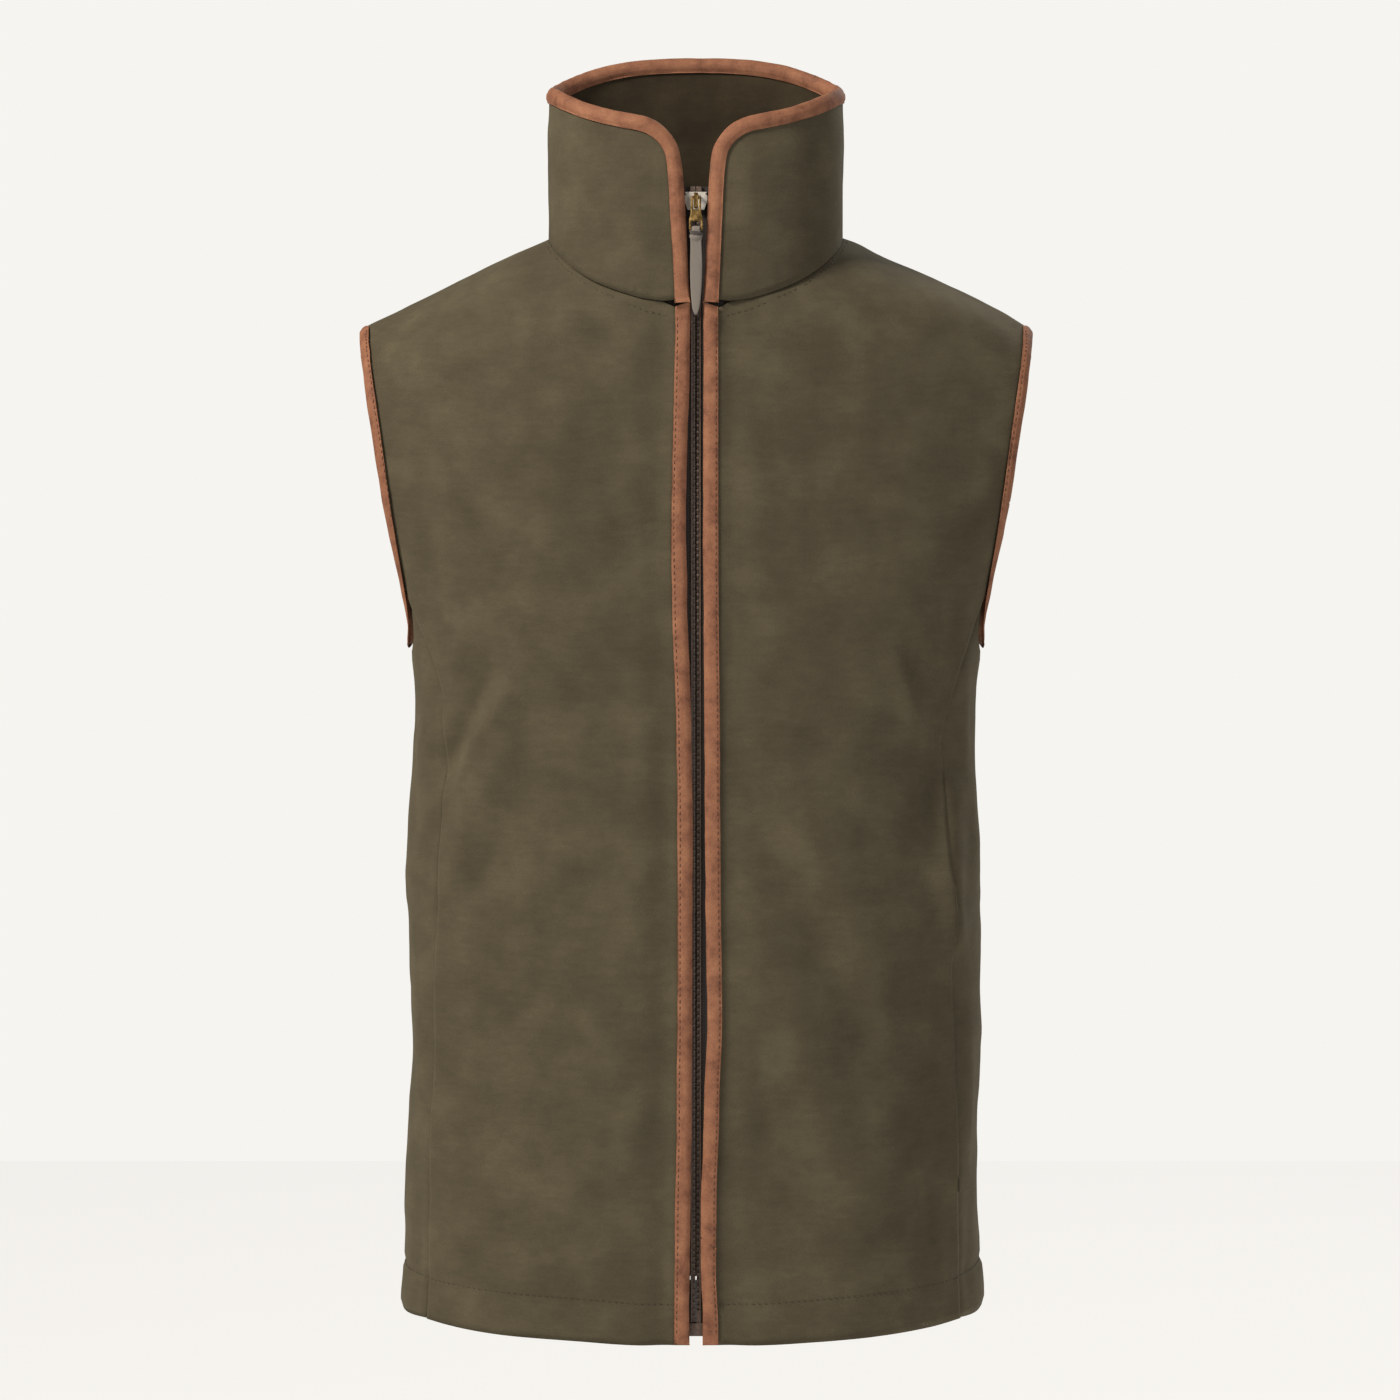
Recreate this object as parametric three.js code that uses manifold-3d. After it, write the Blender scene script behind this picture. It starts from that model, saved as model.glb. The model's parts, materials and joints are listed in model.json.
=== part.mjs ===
// A sleeveless zip-front country waistcoat in its worn shape, in millimetres.
// The front faces -Y, +X is the wearer's left and +Z is up. The origin is under the hanger loop.
import * as THREE from 'three';
import { mergeVertices } from 'three/addons/utils/BufferGeometryUtils.js';
import Module from 'manifold-3d';

const wasm = await Module();
wasm.setup();

// Materials' thicknesses and running clearances
const cloth = 2.0;               // bonded fleece of the body
const leather = 0.8;             // one ply of the binding
const ease = 0.5;                // cloth to binding
const armEase = 1.4;             // the same round the armhole, which curves both ways
const clearance = 0.35;          // between hard pieces that fit together
const seamGap = 0.8;             // between the edges of two panels at a seam
const shoulderGap = 1.5;         // the same at the shoulder, where the panels meet at a ridge
const liningThick = 1.2;
const interliningThick = 0.6;
const bagPly = 0.8;

// Body, heights measured down from the nape seam
const hemDrop = 694;
const hemRise = 8;               // the side hem above the centre hem
const underarmDrop = 270;
const seamTopDrop = 236;         // where the panel seams meet the armhole
const shoulderTipDrop = 69;
const neckPointDrop = 13;
const frontNeckDrop = 53;
const hemHalfWidth = 184;
const waistHalfWidth = 178;
const chestHalfWidth = 180;
const armholeSpread = 4;         // chest to the top of the panel seam
const shoulderHalfWidth = 211;
const shoulderTipY = 6;
const armholeFrontY = -43;       // how far the armhole bows forward and back
const armholeBackY = 64;
const frontDepthAtHem = 112;
const frontTilt = THREE.MathUtils.degToRad(3);
const hemBackDepth = 105;
const waistBackDepth = 100;
const chestBackDepth = 116;
const roundness = 2.4;           // exponent of the body's oval section

// Neck and collar
const neckHalfWidth = 92;
const neckBackDepth = 57;
const neckRoundness = 2.6;
const collarBackHeight = 103;
const collarSideHeight = 94;
const collarFrontHeight = 113;
const collarCorner = 30;         // radius of the front corners
const collarLean = 5;            // how far the top of the collar draws in at the back
const collarFrontSpread = 3.7;   // how far the collar's front edge opens by the corner
const liningInset = 20;          // the lining ends this far behind the collar's front edge

// Edges
const bindingWidth = 9;
const armBindingWidth = 6.5;
const underarmBinding = 2;     // the fold narrows under the arm
const halfGap = 5.3;             // zip line to the bound edge

// Zip
const toothPitch = 4.0;
const toothHeight = 1.7;
const toothReach = 2.2;          // zip line to the root of a tooth
const slotHalf = 0.6;            // zip line to the tip of a tooth
const beadWidth = 1.2;
const chainThick = 2.6;
const tapeThick = 0.9;
const tapeReach = 17;
const plateThick = 1.0;
const sliderHalfWidth = 7;
const sliderHeight = 11;
const stopHeight = 3;
const boxHeight = 8;
const boxHalfWidth = 4.6;
const zipStart = 5;              // retainer box above the hem
const zipEndDrop = -19;          // the zip ends this far above the nape seam

// Pull
const bridgeHalfWidth = 1.4;
const bridgeBar = 1.2;
const tabHalfWidth = 4.2;
const tabLength = 21;
const tabThick = 1.4;
const tabBar = 1.8;
const ribbonThick = 0.9;
const ribbonHalfWidth = 4.4;
const tailLength = 52;
const loopThick = 0.8;

// Pockets
const pocketTopDrop = 420;
const pocketMouth = 189;
const bagDepth = 122;
const bagBelow = 34;
const tackHeight = 9;
const tackWidth = 2.6;
const tackThick = 0.7;

// Back neck
const neckTapeWidth = 10;
const neckTapeThick = 0.8;
const loopHalfWidth = 28;
const loopRise = 14;
const loopWidth = 6;
const strapThick = 1.2;
const bagClearance = 0.3;      // pocket bag behind the panel
const legShare = 0.42;         // of the slider height, reached by each bridge leg
const tabFrame = 1.2;          // raised frame round the slot of the pull tab

// Grid steps
const lowRows = 12;
const chestRows = 5;
const neckRows = 5;
const frontColumns = 8;
const backColumns = 8;
const sideColumns = 6;

const point = (x, y, z) => new THREE.Vector3(x, y, z);
const mix = THREE.MathUtils.lerp;

// A smooth curve through [position, value] pairs.
function through(pairs, at) {
  const last = pairs.length - 1;
  const x = THREE.MathUtils.clamp(at, pairs[0][0], pairs[last][0]);
  const i = Math.min(last - 1, Math.max(0, pairs.findIndex(([p]) => p > x) - 1));
  const k = x >= pairs[last][0] ? last - 1 : i;
  const slope = (j) => {
    const a = pairs[Math.max(0, j - 1)];
    const b = pairs[Math.min(last, j + 1)];
    return (b[1] - a[1]) / (b[0] - a[0]);
  };
  const [x0, y0] = pairs[k];
  const [x1, y1] = pairs[k + 1];
  const w = x1 - x0;
  const t = (x - x0) / w;
  const h = t * t * (3 - 2 * t);
  const rise = w * (t * (1 - t) * (1 - t) * slope(k) - t * t * (1 - t) * slope(k + 1));
  return mix(y0, y1, h) + rise;
}

// Body section
const hemZ = -hemDrop;
const seamTopZ = -seamTopDrop;
const underarmZ = -underarmDrop;
const waistZ = mix(hemZ, underarmZ, 0.62);
const hipZ = mix(hemZ, underarmZ, 0.2);
const widths = [
  [hemZ, hemHalfWidth], [hipZ, mix(hemHalfWidth, waistHalfWidth, 0.6)], [waistZ, waistHalfWidth],
  [underarmZ, chestHalfWidth], [seamTopZ, chestHalfWidth + armholeSpread],
];
const backDepths = [
  [hemZ, hemBackDepth], [waistZ, waistBackDepth], [underarmZ, chestBackDepth - 2], [seamTopZ, chestBackDepth],
];
const halfWidth = (z) => through(widths, z);
const backDepth = (z) => through(backDepths, z);
const frontY = (z) => -frontDepthAtHem + (z - hemZ) * Math.tan(frontTilt);
const frontSeamInsets = [
  [hemZ, 19], [mix(hemZ, underarmZ, 0.2), 17], [-pocketTopDrop, 21], [underarmZ - 58, 23],
  [underarmZ - 22, 21], [underarmZ - 4, 16], [mix(underarmZ, seamTopZ, 0.45), 9], [seamTopZ, 2],
];
const backSeamInsets = [[hemZ, 34], [waistZ, 36], [underarmZ - 40, 30], [underarmZ, 20], [seamTopZ, 4]];

const angleAt = (x, z) => Math.asin(Math.min(1, Math.abs(x) / halfWidth(z)) ** (roundness / 2));
const frontSeamAngle = (z) => angleAt(halfWidth(z) - through(frontSeamInsets, z), z);
const backSeamAngle = (z) => Math.PI - angleAt(halfWidth(z) - through(backSeamInsets, z), z);

// A point of the body: angle 0 is centre front, 180 degrees centre back.
function bodyPoint(angle, z, rise) {
  const s = Math.abs(Math.sin(angle)) ** (2 / roundness);
  const c = Math.abs(Math.cos(angle)) ** (2 / roundness);
  const y = angle < Math.PI / 2 ? frontY(z) * c : backDepth(z) * c;
  return point(halfWidth(z) * s, y, z + rise * s * s);
}
const riseAt = (v) => hemRise * (1 - v);

// Neck ring
const frontNeckZ = -frontNeckDrop;
const neckFrontY = frontY(frontNeckZ);
function neckPoint(angle) {
  const c = Math.cos(angle);
  const s = Math.abs(Math.sin(angle)) ** (2 / neckRoundness);
  const k = Math.abs(c) ** (2 / neckRoundness);
  const z = c > 0
    ? -neckPointDrop - (frontNeckDrop - neckPointDrop) * c ** 1.6
    : -neckPointDrop + neckPointDrop * c * c;
  return point(neckHalfWidth * s, c > 0 ? neckFrontY * k : neckBackDepth * k, z);
}
const neckAngleAt = (x) => Math.asin((x / neckHalfWidth) ** (neckRoundness / 2));
const shoulderTip = point(shoulderHalfWidth, shoulderTipY, -shoulderTipDrop);
const neckSide = neckPoint(Math.PI / 2);

// Geometry helpers
function geometry(vertices, triangles) {
  const g = new THREE.BufferGeometry();
  g.setAttribute('position', new THREE.Float32BufferAttribute(vertices.flatMap((p) => [p.x, p.y, p.z]), 3));
  g.setIndex(triangles.flat());
  let volume = 0;
  for (const [a, b, c] of triangles) {
    volume += vertices[a].dot(vertices[b].clone().cross(vertices[c]));
  }
  if (volume < 0) g.setIndex(triangles.flatMap(([a, b, c]) => [a, c, b]));
  return g;
}

// Unit normals of a grid of points, pointing away from the wearer.
function gridNormals(rows) {
  const n = rows.length - 1;
  const m = rows[0].length - 1;
  return rows.map((row, i) => row.map((p, j) => {
    const along = rows[i][Math.min(m, j + 1)].clone().sub(rows[i][Math.max(0, j - 1)]);
    const up = rows[Math.min(n, i + 1)][j].clone().sub(rows[Math.max(0, i - 1)][j]);
    return along.cross(up).normalize();
  }));
}

// A closed sheet from a grid: `front` mm out along the normals and `back` mm in.
function sheet(grid, front, back) {
  const { rows, normals } = grid;
  const m = rows[0].length;
  const n = rows.length;
  const vertices = [];
  for (const offset of [front, -back]) {
    rows.forEach((row, i) => row.forEach((p, j) => vertices.push(p.clone().addScaledVector(normals[i][j], offset))));
  }
  const triangles = [];
  const quad = (a, b, c, d) => triangles.push([a, b, c], [a, c, d]);
  const under = n * m;
  for (let i = 0; i < n - 1; i++) {
    for (let j = 0; j < m - 1; j++) {
      const a = i * m + j;
      quad(a, a + 1, a + m + 1, a + m);
      quad(under + a, under + a + m, under + a + m + 1, under + a + 1);
    }
  }
  const rim = [];
  for (let j = 0; j < m - 1; j++) rim.push(j);
  for (let i = 0; i < n - 1; i++) rim.push(i * m + m - 1);
  for (let j = m - 1; j > 0; j--) rim.push((n - 1) * m + j);
  for (let i = n - 1; i > 0; i--) rim.push(i * m);
  rim.forEach((a, k) => {
    const b = rim[(k + 1) % rim.length];
    quad(b, a, under + a, under + b);
  });
  return geometry(vertices, triangles);
}

// Rings of equal length joined into a solid, as a closed hoop or with two flat ends.
function loft(rings, profile, hoop) {
  const m = profile.length;
  const vertices = rings.flat();
  const triangles = [];
  const count = hoop ? rings.length : rings.length - 1;
  for (let i = 0; i < count; i++) {
    const next = (i + 1) % rings.length;
    for (let j = 0; j < m; j++) {
      const k = (j + 1) % m;
      triangles.push([i * m + j, i * m + k, next * m + k], [i * m + j, next * m + k, next * m + j]);
    }
  }
  if (!hoop) {
    const end = (rings.length - 1) * m;
    const clockwise = THREE.ShapeUtils.isClockWise(profile);
    for (const face of THREE.ShapeUtils.triangulateShape(profile, [])) {
      const [a, b, c] = clockwise ? [face[0], face[2], face[1]] : face;
      triangles.push([c, b, a], [end + a, end + b, end + c]);
    }
  }
  return geometry(vertices, triangles);
}

// Leather folded round an edge. A station has the edge point p, the outward normal n, the
// direction q into the cloth, the depth of the fold and the room that it leaves round the cloth.
function binding(stations, hoop) {
  const rings = stations.map(({ p, n, q, depth, front, back, room }) => {
    const at = (into, out) => p.clone().addScaledVector(q, into).addScaledVector(n, out);
    return [
      at(depth, front + leather), at(-room - leather, front + leather),
      at(-room - leather, -back - leather), at(depth, -back - leather),
      at(depth, -back), at(-room, -back), at(-room, front), at(depth, front),
    ];
  });
  const profile = [[9, 3], [-1, 3], [-1, -3], [9, -3], [9, -2], [0, -2], [0, 2], [9, 2]];
  return loft(rings, profile.map(([x, y]) => new THREE.Vector2(x, y)), hoop);
}

// Positions only, with shared vertices merged.
function plain(g) {
  const copy = g.clone();
  copy.deleteAttribute('normal');
  copy.deleteAttribute('uv');
  return mergeVertices(copy, 1e-4);
}

function mirrored(g) {
  const copy = plain(g).scale(-1, 1, 1);
  const index = [...copy.index.array];
  for (let i = 0; i < index.length; i += 3) [index[i + 1], index[i + 2]] = [index[i + 2], index[i + 1]];
  copy.setIndex(index);
  return copy;
}

function toSolid(g) {
  const { attributes, index } = plain(g);
  return new wasm.Manifold(new wasm.Mesh({
    numProp: 3,
    vertProperties: new Float32Array(attributes.position.array),
    triVerts: new Uint32Array(index.array),
  }));
}

function fromSolid(solid) {
  const mesh = solid.getMesh();
  const g = new THREE.BufferGeometry();
  g.setAttribute('position', new THREE.BufferAttribute(Float32Array.from(mesh.vertProperties), 3));
  g.setIndex([...mesh.triVerts]);
  return g;
}
const joined = (...parts) => fromSolid(parts.map(toSolid).reduce((a, b) => a.add(b)));
const cutBy = (g, tool) => fromSolid(toSolid(g).subtract(toSolid(tool)));

// A block between two corners.
function block(x0, y0, z0, x1, y1, z1) {
  return new THREE.BoxGeometry(x1 - x0, y1 - y0, z1 - z0)
    .translate((x0 + x1) / 2, (y0 + y1) / 2, (z0 + z1) / 2);
}

// A shape whose outline and holes run anticlockwise.
function shapeOf(outline, holes = []) {
  const path = (pairs) => {
    const points = pairs.map(([a, b]) => new THREE.Vector2(a, b));
    return THREE.ShapeUtils.isClockWise(points) ? points.reverse() : points;
  };
  const shape = new THREE.Shape(path(outline));
  holes.forEach((hole) => shape.holes.push(new THREE.Path(path(hole))));
  return shape;
}

// A flat outline in X and Z, given thickness from y0 to y1.
function plate(outline, y0, y1, holes = []) {
  const g = new THREE.ExtrudeGeometry(shapeOf(outline, holes), { depth: y1 - y0, bevelEnabled: false });
  return g.rotateX(Math.PI / 2).translate(0, y1, 0);
}
const rectangle = (x0, z0, x1, z1) => [[x0, z0], [x1, z0], [x1, z1], [x0, z1]];

// Materials
const fleece = new THREE.MeshStandardMaterial({ color: '#5d5240', roughness: 0.95, metalness: 0 });
const fleeceInside = new THREE.MeshStandardMaterial({ color: '#4a4032', roughness: 0.95, metalness: 0 });
const nubuck = new THREE.MeshStandardMaterial({ color: '#80553d', roughness: 0.85, metalness: 0 });
const canvas = new THREE.MeshStandardMaterial({ color: '#8d8372', roughness: 0.95, metalness: 0 });
const lining = new THREE.MeshStandardMaterial({ color: '#3c3529', roughness: 0.9, metalness: 0 });
const tapeWeave = new THREE.MeshStandardMaterial({ color: '#2b211a', roughness: 0.9, metalness: 0 });
const acetal = new THREE.MeshStandardMaterial({ color: '#35261c', roughness: 0.45, metalness: 0 });
const enamel = new THREE.MeshStandardMaterial({ color: '#c9c2b4', roughness: 0.4, metalness: 0.1 });
const brass = new THREE.MeshStandardMaterial({ color: '#8a6a3c', roughness: 0.35, metalness: 1 });
const ribbonSatin = new THREE.MeshStandardMaterial({ color: '#7d7468', roughness: 0.6, metalness: 0 });
const thread = new THREE.MeshStandardMaterial({ color: '#4c4030', roughness: 0.8, metalness: 0 });

const garment = new THREE.Group();
const zip = new THREE.Group();   // its Z runs up the front edge and its -Y points forward
zip.position.set(0, frontY(hemZ), hemZ);
zip.rotation.x = -frontTilt;
garment.add(zip);

function add(name, g, material, parent = garment) {
  const mesh = new THREE.Mesh(g, material);
  mesh.name = name;
  parent.add(mesh);
}
function addPair(name, g, material, parent = garment) {
  add(`${name}_left`, g, material, parent);
  add(`${name}_right`, mirrored(g), material, parent);
}

// Panels: a boundary curve is a list of points, read by its share of the length.
function curve(points) {
  const lengths = [0];
  points.forEach((p, i) => i && lengths.push(lengths[i - 1] + p.distanceTo(points[i - 1])));
  const total = lengths[lengths.length - 1];
  return {
    total,
    at(t) {
      const d = THREE.MathUtils.clamp(t, 0, 1) * total;
      const i = Math.max(1, lengths.findIndex((l) => l >= d - 1e-9));
      const k = (d - lengths[i - 1]) / (lengths[i] - lengths[i - 1]);
      return points[i - 1].clone().lerp(points[i], k);
    },
  };
}
const smooth = (points, steps) => new THREE.CatmullRomCurve3(points, false, 'centripetal').getPoints(steps);
const steps = (count) => Array.from({ length: count + 1 }, (_, i) => i / count);

// The part of a panel above the seam top: a patch between its four edges.
function patch(bottom, top, inner, outer, inset) {
  const vs = [];
  const corner = inner.corner;
  steps(chestRows).slice(1).forEach((t) => vs.push(corner * t));
  steps(neckRows).slice(1).forEach((t) => vs.push(mix(corner, 1 - inset / outer.total, t)));
  return (u) => vs.map((v) => {
    const sum = bottom(u).multiplyScalar(1 - v)
      .addScaledVector(top(u), v)
      .addScaledVector(inner.at(v), 1 - u)
      .addScaledVector(outer.at(v), u);
    return sum.addScaledVector(bottom(0), -(1 - u) * (1 - v)).addScaledVector(bottom(1), -u * (1 - v))
      .addScaledVector(top(0), -(1 - u) * v).addScaledVector(top(1), -u * v);
  });
}

// A half panel's grid, from the middle of the body out to its seam and armhole.
function halfPanel({ edgeAngle, seamAngle, edgeTop, armhole, neckArc, columns }) {
  const low = steps(lowRows).map((v) => {
    const z = mix(hemZ, seamTopZ, v);
    const [a, b] = [edgeAngle(z), seamAngle(z)];
    return steps(columns).map((u) => bodyPoint(mix(a, b, u), z, riseAt(v)));
  });
  const lastRow = low[lowRows];
  const rise = edgeTop(lastRow[0]);
  const inner = curve([...rise, ...neckArc.slice(1)]);
  inner.corner = curve(rise).total / inner.total;
  const outer = curve([lastRow[columns], ...armhole.slice(1)]);
  const bottom = (u) => lastRow[Math.round(u * columns)].clone();
  const top = (u) => neckArc[neckArc.length - 1].clone().lerp(armhole[armhole.length - 1], u);
  const column = patch(bottom, top, inner, outer, shoulderGap / 2);
  const columnsUp = steps(columns).map(column);
  const high = columnsUp[0].map((_, i) => columnsUp.map((points) => points[i]));
  return { rows: [...low, ...high] };
}

// How far the angle turns for d mm along the section.
function angleFor(angle, z, d) {
  const step = 1e-3;
  return (d * step) / bodyPoint(angle + step, z, 0).distanceTo(bodyPoint(angle, z, 0));
}
const frontEdge = (z) => frontSeamAngle(z) - angleFor(frontSeamAngle(z), z, seamGap / 2);
const sideFrontEdge = (z) => frontSeamAngle(z) + angleFor(frontSeamAngle(z), z, seamGap / 2);
const sideBackEdge = (z) => backSeamAngle(z) - angleFor(backSeamAngle(z), z, seamGap / 2);
const backEdge = (z) => backSeamAngle(z) + angleFor(backSeamAngle(z), z, seamGap / 2);

// The armhole from the panel seam to the shoulder tip; `bulge` is how far it bows fore or aft.
function armholeCurve(start, bulge) {
  const at = (share, rise, y) => point(
    mix(start.x, shoulderHalfWidth, share), y, mix(seamTopZ, -shoulderTipDrop, rise));
  return smooth([start, at(0.34, 0.28, bulge * 0.9), at(0.62, 0.6, bulge), at(0.87, 0.88, bulge * 0.66),
    shoulderTip], 24);
}
const frontArc = steps(16).map((t) => neckPoint(mix(neckAngleAt(halfGap), Math.PI / 2, t)));
const backArc = steps(16).map((t) => neckPoint(mix(Math.PI, Math.PI / 2, t)));
const frontHalf = halfPanel({
  edgeAngle: (z) => angleAt(halfGap, z),
  seamAngle: frontEdge,
  edgeTop: (start) => [start, frontArc[0]],
  armhole: armholeCurve(bodyPoint(frontEdge(seamTopZ), seamTopZ, 0), armholeFrontY),
  neckArc: frontArc,
  columns: frontColumns,
});
frontHalf.normals = gridNormals(frontHalf.rows);
const backHalf = halfPanel({
  edgeAngle: () => Math.PI,
  seamAngle: backEdge,
  edgeTop: (start) => smooth([
    start, point(0, mix(start.y, neckBackDepth, 0.1), mix(start.z, 0, 0.45)),
    point(0, mix(start.y, neckBackDepth, 0.42), mix(start.z, 0, 0.78)), backArc[0],
  ], 16),
  armhole: armholeCurve(bodyPoint(backEdge(seamTopZ), seamTopZ, 0), armholeBackY),
  neckArc: backArc,
  columns: backColumns,
});
backHalf.normals = gridNormals(backHalf.rows).map((row) => row.map((n) => n.negate()));
backHalf.normals.forEach((row, i) => {
  if (i <= lowRows + chestRows) row[0].setX(0).normalize();
});

// The side panel dips under the arm between its two seams.
const sideRows = steps(lowRows).map((v) => steps(sideColumns).map((c) => {
  const dip = (underarmDrop - seamTopDrop) * (1 - (2 * c - 1) ** 2);
  const z = mix(hemZ, seamTopZ - dip, v);
  return bodyPoint(mix(sideFrontEdge(z), sideBackEdge(z), c), z, riseAt(v));
}));
const side = { rows: sideRows, normals: gridNormals(sideRows) };

const half = cloth / 2;
addPair('front_panel', sheet(frontHalf, half, half), fleece);
addPair('side_panel', sheet(side, half, half), fleece);
const backLeft = sheet(backHalf, half, half);
add('back_panel', joined(backLeft, mirrored(backLeft)), fleece);

// The fold of a binding along a run of edge points; `into` is a point inside the cloth.
const straightIn = (run, depth, room) => run.map(({ p, n, into }) => (
  { p, n, q: into.clone().sub(p).normalize(), depth, front: half + room, back: half + room, room }));
const squareIn = (run, depth, room) => run.map(({ p, n, into, back = half }, i) => {
  const before = run[Math.max(0, i - 1)].p;
  const after = run[Math.min(run.length - 1, i + 1)].p;
  const q = n.clone().cross(after.clone().sub(before)).normalize();
  if (q.dot(into.clone().sub(p)) < 0) q.negate();
  return { p, n, q, depth, front: half + room, back: back + room, room };
});

// Front edge binding, hem to neck seam
const frontRun = frontHalf.rows.slice(0, lowRows + chestRows + 1).map((row, i) => (
  { p: row[0], n: frontHalf.normals[i][0], into: row[1] }));
addPair('front_binding', binding(straightIn(frontRun, bindingWidth, ease), false), nubuck);

// Armhole binding: up the front, over the shoulder, down the back and under the arm
function armholeRun(panel, columns) {
  return panel.rows.slice(lowRows).map((row, i) => (
    { p: row[columns], n: panel.normals[lowRows + i][columns], into: row[columns - 1] }));
}
const upFront = armholeRun(frontHalf, frontColumns);
const upBack = armholeRun(backHalf, backColumns);
[[upFront[0], 0], [upBack[0], sideColumns]].forEach(([station, j]) => {
  const across = station.into.clone().sub(station.p).normalize();
  const down = sideRows[lowRows - 1][j].clone().sub(sideRows[lowRows][j]).normalize();
  station.into = station.p.clone().add(across).add(down);
});
const tips = [upFront.pop(), upBack.pop()];
const tip = {
  p: tips[0].p.clone().lerp(tips[1].p, 0.5),
  n: tips[0].n.clone().add(tips[1].n).normalize(),
  into: tips[0].into.clone().lerp(tips[1].into, 0.5),
};
const underarm = sideRows[lowRows].map((p, j) => (
  { p, n: side.normals[lowRows][j], into: sideRows[lowRows - 1][j] })).slice(1, -1).reverse();
const armRun = [...upFront, tip, ...upBack.reverse(), ...underarm];
const straight = straightIn(armRun, armBindingWidth, armEase);
const square = squareIn([...armRun, armRun[0]], underarmBinding, armEase);
const firstUnder = armRun.length - underarm.length;
const armBinding = binding(straight.map((station, i) => (i >= firstUnder ? square[i] : station)), true);
addPair('armhole_binding', armBinding, nubuck);

// Collar: columns from one front edge round the back to the other
const cornerSteps = [0, 0.07, 0.17, 0.3, 0.47, 0.67, 0.9].map((share) => share * collarCorner);
const cornerEnd = neckAngleAt(halfGap + collarCorner);
const collarAngles = [
  ...cornerSteps.map((u) => neckAngleAt(halfGap + u)),
  ...steps(5).map((t) => mix(cornerEnd, Math.PI / 2, t)),
  ...steps(7).slice(1).map((t) => mix(Math.PI / 2, Math.PI, t)),
];
const collarHalf = collarAngles.map((angle) => {
  const base = neckPoint(angle);
  base.z += 2 * seamGap;
  const c = Math.cos(angle);
  const u = angle < Math.PI / 2 ? base.x - halfGap : collarCorner;
  const bend = Math.max(0, collarCorner - u) / collarCorner;
  const full = c > 0 ? mix(collarSideHeight, collarFrontHeight, c ** 1.3)
    : mix(collarSideHeight, collarBackHeight, (-c) ** 1.2);
  const height = full - collarCorner * (1 - Math.sqrt(1 - Math.min(1, bend) ** 2)) - 2 * seamGap;
  const lean = c > 0 ? Math.tan(frontTilt) * c : (collarLean / collarBackHeight) * c;
  const spread = collarFrontSpread * Math.max(0, 1 - Math.max(0, u) / (1.4 * collarCorner));
  const up = point(spread / height - 0.01 * Math.sin(angle), lean, 1);
  return { base, up, height, u };
});
const flip = (p) => point(-p.x, p.y, p.z);
const collarColumns = [
  ...collarHalf, ...collarHalf.slice(0, -1).reverse().map((c) => ({ ...c, base: flip(c.base), up: flip(c.up) })),
];
const collarRows = steps(3).map((t) => (
  collarColumns.map(({ base, up, height }) => base.clone().addScaledVector(up, t * height))));
const collar = { rows: collarRows, normals: gridNormals(collarRows) };
collar.normals.forEach((row) => row[collarHalf.length - 1].setX(0).normalize());
const columnsFrom = (grid, first) => ({
  rows: grid.rows.map((row) => row.slice(first, row.length - first)),
  normals: grid.normals.map((row) => row.slice(first, row.length - first)),
});
const firstLined = collarHalf.findIndex(({ u }) => u >= liningInset - 1e-6);
const lined = columnsFrom(collar, firstLined);
const plyGap = 0.3;
const interliningAt = half + plyGap;
const liningAt = interliningAt + interliningThick + plyGap;
const collarBack = liningAt + liningThick;
add('collar_shell', sheet(collar, half, half), fleece);
add('collar_interlining', sheet(lined, -interliningAt, interliningAt + interliningThick), canvas);
add('collar_lining', sheet(lined, -liningAt, collarBack), fleeceInside);

// Collar binding: up one front edge, round the corners and the top, down the other edge
const topRow = collarRows.length - 1;
const lastColumn = collarColumns.length - 1;
const collarStation = (i, j, intoI, intoJ) => {
  const share = THREE.MathUtils.smoothstep(collarColumns[j].u, collarCorner * 0.1, collarCorner * 0.45);
  return { p: collarRows[i][j], n: collar.normals[i][j], into: collarRows[intoI][intoJ],
    back: i === topRow ? mix(half, collarBack, share) : half };
};
const collarRun = [
  ...collarRows.slice(0, -1).map((_, i) => collarStation(i, 0, i, 1)),
  ...collarColumns.map((_, j) => collarStation(topRow, j, topRow - 1,
    THREE.MathUtils.clamp(j, 1, lastColumn - 1))),
  ...collarRows.slice(0, -1).map((_, i) => collarStation(i, lastColumn, i, lastColumn - 1)).reverse(),
];
add('collar_binding', binding(squareIn(collarRun, bindingWidth, ease), false), nubuck);

// Tape over the back neck seam, and the hanger loop that stands on it
const backFirst = collarAngles.findIndex((angle) => angle > Math.PI / 2 + 0.1);
const tapeRows = [0.01, 0.01 + neckTapeWidth / collarBackHeight].map((t) => (
  collarColumns.map(({ base, up, height }) => base.clone().addScaledVector(up, t * height))));
const neckTapeGrid = columnsFrom({ rows: tapeRows, normals: collar.normals.slice(0, 2) }, backFirst);
const neckTapeAt = collarBack + plyGap;
add('neck_tape', sheet(neckTapeGrid, -neckTapeAt, neckTapeAt + neckTapeThick), lining);
const loopSeat = neckPoint(Math.PI - neckAngleAt(loopHalfWidth + strapThick)).y;
const loopY = loopSeat - neckTapeAt - neckTapeThick - 2 * clearance;
const loopFoot = 2 * seamGap + 1;
const loopOutline = [
  [-loopHalfWidth, loopFoot], [-loopHalfWidth, loopRise], [loopHalfWidth, loopRise],
  [loopHalfWidth, loopFoot], [loopHalfWidth + strapThick, loopFoot],
  [loopHalfWidth + strapThick, loopRise + strapThick],
  [-loopHalfWidth - strapThick, loopRise + strapThick], [-loopHalfWidth - strapThick, loopFoot],
];
add('hanger_loop', plate(loopOutline, loopY - loopWidth, loopY), lining);

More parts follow.
